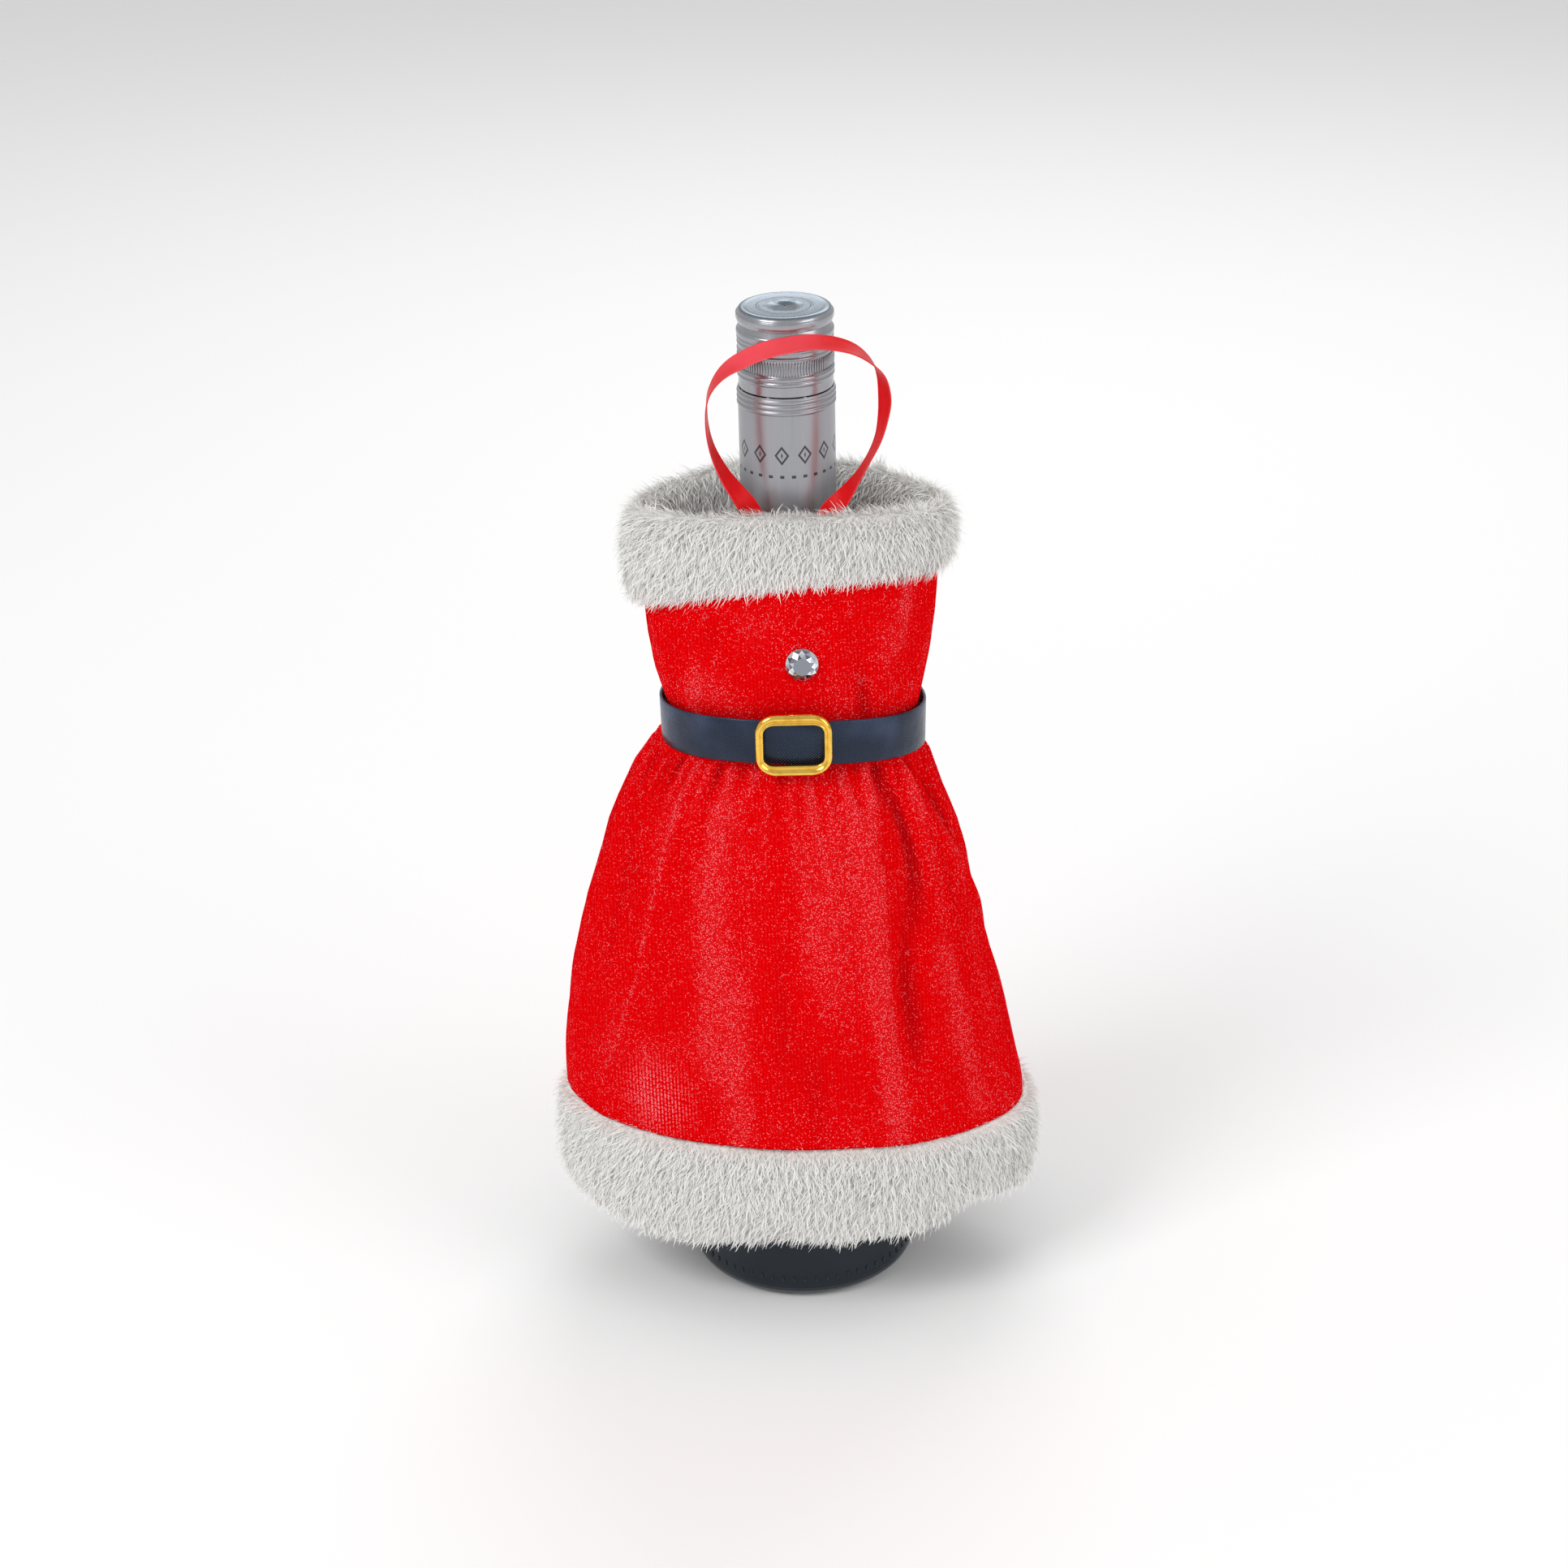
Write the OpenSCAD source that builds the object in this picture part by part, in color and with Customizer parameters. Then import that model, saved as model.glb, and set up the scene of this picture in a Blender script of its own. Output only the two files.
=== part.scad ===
// Dress-shaped cover for a tall wine bottle, shown on its bottle: a velvet bodice and gathered skirt,
// plush cuffs at the neck and hem, a strap belt with a slide buckle, a round gem and a ribbon hanger.
// Millimetres, +Z up, the front faces -Y, and the origin is under the middle of the bottle's foot.

/* [Bottle] */
// Height of the glass, from the foot to the lip
bottle_h = 327.4; // [320:0.1:400]
// Diameter of the straight body
body_d = 74; // [60:0.5:90]
// Height at which the body begins to slope in
body_straight_h = 110; // [60:1:130]
// Bare neck between the slope and the foot of the cap
neck_bare = 5; // [2:1:20]
// Diameter of the neck
neck_d = 28.4; // [27:0.1:29]
// Diameter of the hole through the neck
bore_d = 18.5; // [16:0.1:20]
// Wall of the glass at the body
glass_t = 3; // [2:0.1:5]
// Radius of the rounded edge under the body
heel_r = 6; // [3:0.5:10]
// Height of the hollow in the foot
punt_h = 14; // [6:1:30]
// Empty space between the wine and the lip
headspace = 55.4; // [30:0.1:65]

/* [Screw cap] */
// Length of the whole cap, shell and sleeve
cap_l = 65; // [62:0.5:66]
// Length of the shell that unscrews
shell_l = 24.4; // [23.5:0.1:30]
// Sheet from which the cap is drawn
cap_t = 0.4; // [0.3:0.05:0.6]
// Thickness of the sealing disc in the cap
liner_t = 2; // [1:0.1:2.2]
// How far the beads of the cap stand out
bead_h = 0.45; // [0.2:0.05:0.6]
// Rise of the cap in one turn
thread_lead = 3; // [2:0.1:4]

/* [Bodice] */
// Thickness of the velvet
velvet_t = 1.2; // [0.6:0.1:2]
// Height of the waist seam at the sides
waist_z = 194; // [180:1:205]
// Space between the bottle and each side of the waist
waist_room = 15.8; // [12:0.1:30]
// How much the front and back of the waist sit above its sides
waist_rise = 4; // [0:0.5:8]
// Space between the bottle and the gathered seam that rests on it
shoulder_gap = 0.5; // [0.3:0.1:2]
// Thickness of the gathered seam allowance inside the waist
gather_t = 2; // [1:0.1:3]

/* [Collar] */
// Height of the collar's lower edge at the sides
collar_z = 240; // [236:0.5:246]
// Height of the collar's upper fold
collar_top_z = 273; // [268:0.5:276]
// Width of the opening in the collar
mouth_w = 87; // [80:1:110]
// Space between the neck and the front of the collar
mouth_room = 3.3; // [3:0.1:12]
// Thickness of the collar's plush at its sides
collar_side_t = 8; // [5:0.5:14]
// Thickness of the collar's plush at its front and back
collar_front_t = 9.5; // [6:0.5:16]

/* [Skirt] */
// Height of the seam between the skirt and the hem's plush
skirt_z = 66; // [50:1:80]
// Width across the foot of the skirt
skirt_w = 152.6; // [130:1:180]
// Space between the bottle and the front of the skirt's foot
skirt_room = 13; // [8:0.5:40]
// How fast the gathered skirt spreads below the waist
flare = 0.62; // [0.45:0.01:0.9]
// Width of the seam allowance left inside the side seams
allowance = 5; // [3:0.5:7]

/* [Hem] */
// Height of the hem's lower edge
hem_z = 27; // [18:1:40]
// How far the hem's plush stands out from the skirt
hem_pile = 4.4; // [2:0.1:8]
// Thickness of the hem from front to back of the plush
hem_t = 5.4; // [3:0.1:8]

/* [Belt] */
// Width of the strap
strap_w = 15; // [10:0.5:20]
// Thickness of the strap
strap_t = 1; // [0.6:0.1:1.6]
// Space between the strap and the sides of the dress
strap_side_gap = 0.5; // [0.3:0.1:3]
// Height of the middle of the strap above the waist seam
strap_lift = 1.7; // [0:0.1:4]

/* [Buckle] */
// Width of the buckle's frame
buckle_w = 23.8; // [18:0.1:30]
// Thickness of the buckle's frame from front to back
buckle_t = 2.4; // [1.5:0.1:4]
// Width of the metal at the sides of the frame
buckle_side = 2.6; // [1.5:0.1:4]
// Width of the metal above and below the opening
buckle_rail = 3.7; // [3:0.1:5]
// How far each rail covers the edge of the strap
rail_cover = 0.8; // [0.2:0.1:1.5]
// Thickness of the bar behind the strap
bar_t = 1.6; // [1:0.1:2.5]
// Running space round the strap in the buckle
buckle_gap = 0.3; // [0.2:0.05:0.8]

/* [Gem] */
// Diameter of the gem
gem_d = 10; // [6:0.5:14]
// Height of the cut stone
gem_h = 3; // [2:0.1:5]
// Sideways place of the gem on the bodice
gem_x = 3; // [-8:0.5:8]
// Height of the gem's middle above the waist seam
gem_lift = 30; // [25:0.5:36]

/* [Ribbon] */
// Width of the satin ribbon
ribbon_w = 6.5; // [4:0.5:8]
// Thickness of the ribbon
ribbon_t = 0.6; // [0.4:0.1:0.8]
// Height of the crease on which the loop folds forward, above the collar
crease_lift = 3; // [2:0.5:6]

/* [Hidden] */

round_fn = 96;
body_r = body_d / 2;
neck_r = neck_d / 2;
bore_r = bore_d / 2;
foot_inner_r = 0.76 * (body_r - heel_r);
floor_t = glass_t + 2;
loose = 0.1;

finish_r = neck_r - 0.8;
lip_chamfer = 0.6;
thread_h = 0.45;
thread_turns = 1.5;
cap_top_z = bottle_h + liner_t + cap_t + 0.2;
cap_in_r = finish_r + thread_h + 0.3;
cap_wall_r = cap_in_r + cap_t;
cap_edge = 1.6;
neck_z = cap_top_z - cap_l - neck_bare;
fill_z = bottle_h - headspace;
tear_gap = 0.5;
tab_w = 1;
tabs = 8;
sleeve_in_r = neck_r + loose;
shell_beads = [2.8, 6.6, 8.8, 10.4, 12.8, 20.2];
sleeve_beads = [26, 27.7, 29.4];
knurl_from = 13.9;
knurl_to = 18.6;

seam_gap = 0.1;
seam_clear = 0.25;
panel_steps = 22;
fold_steps = 6;
waist_lean = -1.5;
collar_rise = 7;
collar_lean = 4.5;
hem_lean = -3;
hem_rise = 2.5;
gather_h = 7;
collar_edge = 0.55;
waist_a = shoulder_r(waist_z) + waist_room;
waist_b = shoulder_r(waist_z + waist_rise - gather_h / 2) + shoulder_gap + gather_t + loose + velvet_t;
mouth_a = mouth_w / 2;
mouth_b = max(cap_wall_r + bead_h, shoulder_r(collar_z)) + mouth_room;
bust_a = mouth_a + velvet_t;
bust_b = mouth_b + collar_front_t * collar_edge;
skirt_b = body_r + skirt_room;

strap_z = waist_z + strap_lift;
strap_a = bodice_station((strap_lift + strap_w / 2) / (collar_z - waist_z))[0] + strap_side_gap + strap_t;
lap_angle = 8;
tack_r = 0.4;
tack_step = 2.4;

buckle_z = strap_z + waist_rise;
buckle_h = strap_w - 2 * rail_cover + 2 * buckle_rail;
leg_inset = 0.6;
skirt_straight = buckle_h / 2 - leg_inset - strap_lift;
straight_share = skirt_straight / (waist_z - loose - skirt_z);
strap_b = skirt_station(straight_share)[1] + bar_t + 2 * buckle_gap + strap_t;
frame_y = -strap_b - buckle_gap;
bar_y = -strap_b + strap_t + buckle_gap;
bar_w = 3.2;
leg_gap = 0.5;
corner_r = 6.4;

gem_facets = 12;
foil_t = 0.3;
glue_t = 0.7;
glue_sunk = 0.3;
gem_z = waist_z + gem_lift;
gem_share = (gem_lift - waist_rise) / (collar_z + collar_rise - waist_z - waist_rise);
gem_at = bodice_station(gem_share);
gem_face_y = -gem_at[1] * sqrt(1 - pow(gem_x / gem_at[0], 2));
gem_tilt = atan((waist_b - bust_b) / (collar_z + collar_rise - waist_z - waist_rise));

tail_edge = 13.2 + ribbon_w / 2;
tail_y = -mouth_b * sqrt(1 - pow(tail_edge / mouth_a, 2)) + ribbon_t / 2 + loose;
cap_clear = 2.8;
crease_z = collar_top_z + crease_lift;
loop_y = min(tail_y - loose, -cap_wall_r - bead_h - cap_clear);
loop_lean = 0.012;
crease_gap = 0.5;
// Along the middle of the loop: sideways place, height above the crease, and turn of the outer face
// towards the front
loop_path = [
    [-13.6, 0, -90], [-13.6, 1, -88], [-15.8, 3.8, -70], [-19, 7.6, -46], [-22.5, 14.5, -25],
    [-24, 22.5, -10], [-23.5, 30, 5], [-21.5, 35, 20], [-18, 39.5, 38], [-13, 42.5, 55],
    [-6.5, 45.5, 68], [1, 47, 75], [8, 47.5, 72], [15, 47, 52], [21, 45, 25], [25.5, 41, 0],
    [28.5, 36, -22], [29, 30, -36], [28.5, 24, -36], [27, 17.5, -24], [24, 11.6, -24],
    [20.4, 7, -50], [16.4, 3.8, -74], [13.6, 1, -88], [13.6, 0, -90]
];
left_tail = [
    [-9, -20, -90], [-9.4, -14, -90], [-10.4, -8, -90], [-12.2, -4.2, -90], [-13.6, -2.2, -90],
    [-13.6, -crease_gap, -90]
];
right_tail = [for (p = left_tail) [-p[0], p[1], p[2]]];

// Outer radius of the glass between the body and the neck
function shoulder_r(z) =
    let (t = min(1, max(0, (z - body_straight_h) / (neck_z - body_straight_h))))
    neck_r + (body_r - neck_r) * (1 + cos(180 * t)) / 2;

// Inner radius of the glass, which runs from the body's wall to the bore
function hollow_r(z) =
    bore_r + (shoulder_r(z) - neck_r) * (body_r - glass_t - bore_r) / (body_r - neck_r);

// A station of a cloth panel: half width, half depth, height, rise of front and back, lean, then the
// thickness at the sides and at the front
function bodice_station(share) =
    [waist_a + (bust_a - waist_a) * share, waist_b + (bust_b - waist_b) * share,
     waist_z + (collar_z - waist_z) * share,
     waist_rise + (collar_rise - waist_rise) * share,
     waist_lean + (collar_lean - waist_lean) * share, velvet_t, velvet_t];

// The skirt falls straight behind the strap, then spreads to the hem
function skirt_station(share) =
    let (top = waist_z - loose, drop = (top - skirt_z) * share,
         spread = pow(max(0, drop - skirt_straight) / (top - skirt_z - skirt_straight), flare))
    [waist_a + (skirt_w / 2 - waist_a) * spread,
     max(waist_b + (skirt_b - waist_b) * spread, shoulder_r(top - drop) + velvet_t + shoulder_gap),
     top - drop, waist_rise + (hem_rise - waist_rise) * share,
     waist_lean + (hem_lean - waist_lean) * share, velvet_t, velvet_t];

bodice_stations = [for (i = [0:4]) bodice_station(i / 4)];
skirt_shares = [for (k = [1, 0.84, 0.68, 0.52, 0.38, 0.26, 0.16, 0.08, 0.03, 0])
    straight_share + (1 - straight_share) * k];
skirt_stations = [for (share = concat(skirt_shares, [0])) skirt_station(share)];

// The collar swells between its seam and its fold, and its inner wall is the mouth
function collar_station(share, swell) =
    [mouth_a + collar_side_t * swell, mouth_b + collar_front_t * swell,
     collar_z + loose + (collar_top_z - collar_z - loose) * share,
     collar_rise * (1 - share), collar_lean * (1 - share), collar_side_t * swell, collar_front_t * swell];
collar_stations = [for (i = [0:fold_steps]) let (share = i / fold_steps)
    collar_station(share, collar_edge + (1 - collar_edge) * sin(180 * pow(share, 0.8)))];

function hem_station(share, swell) =
    [skirt_w / 2 + hem_pile * swell, skirt_b + hem_pile * swell * 0.8,
     hem_z + (skirt_z - loose - hem_z) * share, hem_rise, hem_lean, hem_t * swell, hem_t * swell];
hem_stations = [for (i = [0:fold_steps])
    let (share = i / fold_steps) hem_station(share, 0.6 + 0.4 * sin(180 * share))];

function flat_list(rows) = [for (row = rows) each row];
function two_triangles(a, b, c, d) = [[a, b, c], [a, c, d]];

// A closed solid through rows of points. Each row runs up one side of a strip and down the other.
module loft(rows, strip = false) {
    n = len(rows[0]);
    half = n / 2;
    last = (len(rows) - 1) * n;
    sides = [for (r = [0:len(rows) - 2]) for (k = [0:n - 1]) let (p = r * n + k, q = r * n + (k + 1) % n)
        each strip && k >= half ? two_triangles(q, q + n, p + n, p) : two_triangles(p, q, q + n, p + n)];
    first_cap = [for (k = [0:half - 2]) each two_triangles(k + 1, k, n - 1 - k, n - 2 - k)];
    last_cap = [for (k = [0:half - 2])
        each two_triangles(last + k, last + k + 1, last + n - 2 - k, last + n - 1 - k)];
    polyhedron(flat_list(rows), concat(sides, first_cap, last_cap), convexity = 6);
}

// One point of a panel's skin, at an angle round the dress, on its outer face (0) or inner face (1)
function skin_point(s, angle, side) =
    [(s[0] - side * s[5]) * cos(angle), (s[1] - side * s[6]) * sin(angle),
     s[2] + s[3] * pow(sin(angle), 2) + s[4] * cos(angle)];

// A curved panel of cloth between two angles
module panel(stations, from, to, steps = panel_steps) {
    n = len(stations);
    loft([for (i = [0:steps]) let (angle = from + (to - from) * i / steps)
        concat([for (s = stations) skin_point(s, angle, 0)],
               [for (k = [n - 1:-1:0]) skin_point(stations[k], angle, 1)])]);
}

// The angle that leaves the seam's gap at the sides of a panel
function seam_angle(stations) = asin(seam_gap / 2 / stations[0][1]);

module front_panel(stations) panel(stations, 180 + seam_angle(stations), 360 - seam_angle(stations));
module back_panel(stations) panel(stations, seam_angle(stations), 180 - seam_angle(stations));

// The doubled cloth that a side seam leaves inside, on both sides
module side_seams(stations) {
    for (side = [-1, 1])
        loft([for (s = stations) let (z = s[2] + side * s[4], wall = s[0] - s[5] - seam_clear)
            let (edge = side * wall, inner = side * (wall - allowance), y = side * velvet_t)
            [[inner, y, z], [edge, y, z], [edge, -y, z], [inner, -y, z]]]);
}

// ---- Bottle

heel_steps = 6;
slope_steps = 24;
slope_heights = [for (i = [0:slope_steps]) body_straight_h + (neck_z - body_straight_h) * i / slope_steps];
dome_angles = [0:15:90];

// The inside of the bottle from the middle of its floor to a height, drawn in by a clearance
function hollow_profile(top, inset) = concat(
    [for (a = dome_angles) [foot_inner_r * sin(a), floor_t + inset + punt_h * cos(a)]],
    [for (a = [0:15:90])
        [body_r - glass_t - heel_r + heel_r * sin(a) - inset, floor_t + inset + heel_r * (1 - cos(a))]],
    [for (z = slope_heights) [hollow_r(z) - inset, z]],
    [[bore_r - inset, top]]);

module glass_thread() {
    steps = 24 * thread_turns;
    start_z = bottle_h - 3 - thread_turns * thread_lead;
    loft([for (i = [0:steps]) let (
            a = 360 * thread_turns * i / steps,
            z = start_z + thread_lead * thread_turns * i / steps,
            out = finish_r + thread_h * min(1, 6 * i / steps, 6 * (steps - i) / steps) + 0.02,
            root = finish_r - 0.5)
        [[root * cos(a), root * sin(a), z - 0.9], [out * cos(a), out * sin(a), z - 0.4],
         [out * cos(a), out * sin(a), z + 0.4], [root * cos(a), root * sin(a), z + 0.9]]]);
}

module bottle_glass() {
    outside = concat(
        [for (a = dome_angles) [foot_inner_r * sin(a), punt_h * cos(a)]],
        [for (i = [0:heel_steps]) let (a = 90 * i / heel_steps)
            [body_r - heel_r + heel_r * sin(a), heel_r * (1 - cos(a))]],
        [for (z = slope_heights) [shoulder_r(z), z]],
        [[neck_r, cap_top_z - shell_l - 1], [finish_r, cap_top_z - shell_l],
         [finish_r, bottle_h - lip_chamfer], [finish_r - lip_chamfer, bottle_h]]);
    inside = hollow_profile(bottle_h, 0);
    color([0.03, 0.04, 0.04]) union() {
        rotate_extrude($fn = round_fn)
            polygon(concat(outside, [for (i = [len(inside) - 1:-1:0]) inside[i]]));
        glass_thread();
    }
}

module wine() {
    color([0.3, 0.02, 0.06]) rotate_extrude($fn = round_fn)
        polygon(concat(hollow_profile(fill_z, loose), [[0, fill_z]]));
}

// ---- Screw cap

// Three points of a rolled bead at a depth below the cap's top
function bead(depth, wall_r) =
    let (z = cap_top_z - depth) [[wall_r, z + 0.7], [wall_r + bead_h, z], [wall_r, z - 0.7]];

module cap_sleeve() {
    top = cap_top_z - shell_l - tear_gap;
    foot = cap_top_z - cap_l;
    wall_r = sleeve_in_r + cap_t;
    color([0.72, 0.73, 0.76]) union() {
        rotate_extrude($fn = round_fn) polygon(concat(
            [[sleeve_in_r, top], [wall_r, top]],
            [for (depth = sleeve_beads) each bead(depth, wall_r)],
            [[wall_r, foot], [sleeve_in_r, foot]]));
        intersection() {
            translate([0, 0, top - 0.2]) difference() {
                cylinder(r = wall_r, h = tear_gap, $fn = round_fn);
                translate([0, 0, -1]) cylinder(r = sleeve_in_r, h = tear_gap + 2, $fn = round_fn);
            }
            for (i = [0:tabs / 2 - 1])
                rotate(360 * i / tabs) translate([-20, -tab_w / 2, top - 1]) cube([40, tab_w, 3]);
        }
    }
}

module cap_liner() {
    color([0.9, 0.9, 0.88]) translate([0, 0, bottle_h + 0.05])
        cylinder(r = cap_in_r - cap_edge * 0.75 - loose, h = liner_t, $fn = round_fn);
}

module cap_shell() {
    foot = cap_top_z - shell_l;
    ceiling = cap_top_z - cap_t;
    color([0.72, 0.73, 0.76]) rotate_extrude($fn = round_fn) polygon(concat(
        [[0, ceiling], [0, cap_top_z], [cap_wall_r - cap_edge, cap_top_z],
         [cap_wall_r - cap_edge / 3, cap_top_z - cap_edge / 3]],
        [for (depth = shell_beads) if (depth < knurl_from) each bead(depth, cap_wall_r)],
        [[cap_wall_r, cap_top_z - knurl_from], [cap_wall_r + bead_h, cap_top_z - knurl_from - 0.3],
         [cap_wall_r + bead_h, cap_top_z - knurl_to + 0.3], [cap_wall_r, cap_top_z - knurl_to]],
        [for (depth = shell_beads) if (depth > knurl_to) each bead(depth, cap_wall_r)],
        [[cap_wall_r, foot], [cap_in_r, foot], [cap_in_r, ceiling - cap_edge * 1.1],
         [cap_in_r - cap_edge * 0.35, ceiling - cap_edge * 0.35],
         [cap_in_r - cap_edge * 0.75, ceiling]]));
}

// ---- Bodice

module bodice_front() color([0.82, 0.02, 0.05]) front_panel(bodice_stations);
module bodice_back() color([0.82, 0.02, 0.05]) back_panel(bodice_stations);
module bodice_side_seams() color([0.6, 0.02, 0.04]) side_seams(bodice_stations);

// The bunched seam allowance of the gathers, which bears on the bottle's shoulder
module waist_seam() {
    above = gather_h / 2 / (collar_z - waist_z);
    bunch = [for (end = [[-gather_h / 2, waist_b], [0, waist_b], [gather_h / 2, bodice_station(above)[1]]])
        [waist_a - velvet_t - allowance - 2 * seam_clear, end[1] - velvet_t - loose,
         waist_z + end[0], waist_rise, waist_lean, gather_t, gather_t]];
    color([0.6, 0.02, 0.04]) {
        front_panel(bunch);
        back_panel(bunch);
    }
}

// ---- Collar

module collar_front() color([0.95, 0.95, 0.93]) front_panel(collar_stations);
module collar_back() color([0.95, 0.95, 0.93]) back_panel(collar_stations);

// ---- Skirt and hem

module skirt_front() color([0.85, 0.02, 0.04]) front_panel(skirt_stations);
module skirt_back() color([0.85, 0.02, 0.04]) back_panel(skirt_stations);
module skirt_side_seams() color([0.6, 0.02, 0.04]) side_seams(skirt_stations);
module hem_front() color([0.95, 0.95, 0.93]) front_panel(hem_stations);
module hem_back() color([0.95, 0.95, 0.93]) back_panel(hem_stations);

// ---- Belt and buckle

function strap_stations(out) = [for (side = [-1, 1])
    [strap_a + out, strap_b + out, strap_z + side * strap_w / 2, waist_rise, waist_lean, strap_t, strap_t]];

// The strap is one length round the waist, and its ends meet behind, under the lap
module belt_strap() {
    end_angle = asin(seam_gap / strap_a);
    color([0.06, 0.07, 0.12]) panel(strap_stations(0), 90 + end_angle, 450 - end_angle, 64);
}

module belt_lap() {
    color([0.06, 0.07, 0.12]) panel(strap_stations(strap_t + 0.02), 90 - lap_angle, 90 + lap_angle, 6);
}

// Thread bars that hold the strap to the side seams
module belt_tacks() {
    color([0.1, 0.1, 0.14]) for (side = [-1, 1]) for (i = [1, 2])
        let (up = strap_lift + tack_step * i,
             start = bodice_station(up / (collar_z - waist_z))[0] - velvet_t / 2)
        translate([side * start, -velvet_t, waist_z + side * waist_lean + up]) rotate([0, side * 90, 0])
            cylinder(r = tack_r, h = strap_a - strap_t / 2 - start, $fn = 16);
}

module rounded_plate(w, h, r, t) {
    rotate([90, 0, 0]) linear_extrude(t) {
        square([w - 2 * r, h], center = true);
        square([w, h - 2 * r], center = true);
        for (x = [-1, 1]) for (y = [-1, 1])
            translate([x * (w / 2 - r), y * (h / 2 - r)]) circle(r, $fn = 48);
    }
}

module buckle() {
    opening_w = buckle_w - 2 * buckle_side;
    opening_h = buckle_h - 2 * buckle_rail;
    leg_z = strap_w / 2 + leg_gap;
    leg_h = buckle_h / 2 - leg_z - leg_inset;
    color([0.83, 0.62, 0.15]) translate([0, 0, buckle_z]) {
        translate([0, frame_y, 0]) difference() {
            rounded_plate(buckle_w, buckle_h, corner_r, buckle_t);
            translate([0, 1, 0]) rounded_plate(opening_w, opening_h, corner_r - 2, buckle_t + 2);
        }
        for (side = [-1, 1])
            translate([-bar_w / 2, frame_y - 0.4, side > 0 ? leg_z : -leg_z - leg_h])
                cube([bar_w, bar_y + bar_t - frame_y + 0.4, leg_h]);
        translate([-bar_w / 2, bar_y, -leg_z - leg_h / 2]) cube([bar_w, bar_t, 2 * leg_z + leg_h]);
    }
}

// ---- Gem

module on_bodice(out)
    translate([gem_x, gem_face_y, gem_z]) rotate([90 - gem_tilt, 0, 0]) translate([0, 0, out]) children();

module gem_glue() {
    color([0.9, 0.9, 0.85]) on_bodice(-glue_sunk) cylinder(d = gem_d * 0.8, h = glue_t, $fn = 32);
}

module gem_foil() {
    color([0.75, 0.76, 0.8]) on_bodice(glue_t - glue_sunk) cylinder(d = gem_d, h = foil_t, $fn = 48);
}

module gem_stone() {
    girdle_h = 0.5;
    color([0.85, 0.88, 0.93, 0.6]) on_bodice(glue_t + foil_t - glue_sunk) {
        cylinder(d = gem_d, h = girdle_h, $fn = gem_facets);
        translate([0, 0, girdle_h])
            cylinder(d1 = gem_d, d2 = gem_d * 0.56, h = gem_h - girdle_h, $fn = gem_facets);
    }
}

// ---- Ribbon

// The ribbon is a flat strip that turns as it goes round, so each row carries its own turn
module ribbon(path, y, lean) {
    place = [for (p = path) [p[0], y + lean * p[1], crease_z + p[1]]];
    last = len(path) - 1;
    loft([for (i = [0:last]) let (
            t = place[min(i + 1, last)] - place[max(i - 1, 0)],
            along = t / norm(t),
            outward = [-along[2], 0, along[0]],
            face = cos(path[i][2]) * outward + sin(path[i][2]) * [0, -1, 0],
            across = cross(along, face) / norm(cross(along, face)),
            w = across * ribbon_w / 2,
            h = face * ribbon_t / 2)
        [place[i] - w - h, place[i] - w + h, place[i] + w + h, place[i] + w - h]], strip = true);
}

module ribbon_loop() color([0.8, 0.03, 0.07]) ribbon(loop_path, loop_y, loop_lean);

module ribbon_tails() {
    color([0.8, 0.03, 0.07]) {
        ribbon(left_tail, tail_y, 0);
        ribbon(right_tail, tail_y, 0);
    }
}

// Short bars of thread that sew each tail to the inside of the collar
module ribbon_tacks() {
    color([0.75, 0.03, 0.07]) for (tail = [left_tail, right_tail]) for (i = [1, 2])
        translate([tail[0][0], tail_y + ribbon_t, crease_z + tail[0][1] + tack_step * i])
            rotate([90, 0, 0]) cylinder(r = tack_r, h = mouth_b + tail_y + 2 * ribbon_t, $fn = 16);
}

bottle_glass();
wine();
cap_sleeve();
cap_liner();
cap_shell();
bodice_front();
bodice_back();
bodice_side_seams();
waist_seam();
collar_front();
collar_back();
skirt_front();
skirt_back();
skirt_side_seams();
hem_front();
hem_back();
belt_strap();
belt_lap();
belt_tacks();
buckle();
gem_stone();
gem_foil();
gem_glue();
ribbon_tails();
ribbon_tacks();
ribbon_loop();
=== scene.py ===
import math

import bpy
import numpy as np
from mathutils import Matrix, Vector, noise


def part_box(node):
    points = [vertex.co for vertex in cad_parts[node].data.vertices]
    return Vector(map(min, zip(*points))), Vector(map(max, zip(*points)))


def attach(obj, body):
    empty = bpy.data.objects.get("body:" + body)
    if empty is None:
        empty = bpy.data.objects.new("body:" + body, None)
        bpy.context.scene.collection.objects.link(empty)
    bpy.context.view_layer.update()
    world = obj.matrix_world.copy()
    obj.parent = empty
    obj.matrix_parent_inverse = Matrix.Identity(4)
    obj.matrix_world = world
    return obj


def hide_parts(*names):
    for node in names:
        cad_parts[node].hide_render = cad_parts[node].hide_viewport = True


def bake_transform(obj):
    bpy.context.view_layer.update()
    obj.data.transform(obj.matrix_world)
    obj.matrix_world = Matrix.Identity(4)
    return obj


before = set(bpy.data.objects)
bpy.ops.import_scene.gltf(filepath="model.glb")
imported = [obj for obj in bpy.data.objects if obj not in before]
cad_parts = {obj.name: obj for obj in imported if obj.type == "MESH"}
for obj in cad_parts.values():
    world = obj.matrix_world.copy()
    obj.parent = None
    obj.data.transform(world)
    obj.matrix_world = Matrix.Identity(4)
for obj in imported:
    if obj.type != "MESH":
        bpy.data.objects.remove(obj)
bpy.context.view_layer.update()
scene = bpy.context.scene


# ---- Studio: a pale seamless floor, one broad soft light from the front left, a weaker one from the
# right, and a camera a metre in front of the bottle, looking down on it.

scene.view_settings.view_transform = "Standard"

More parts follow.
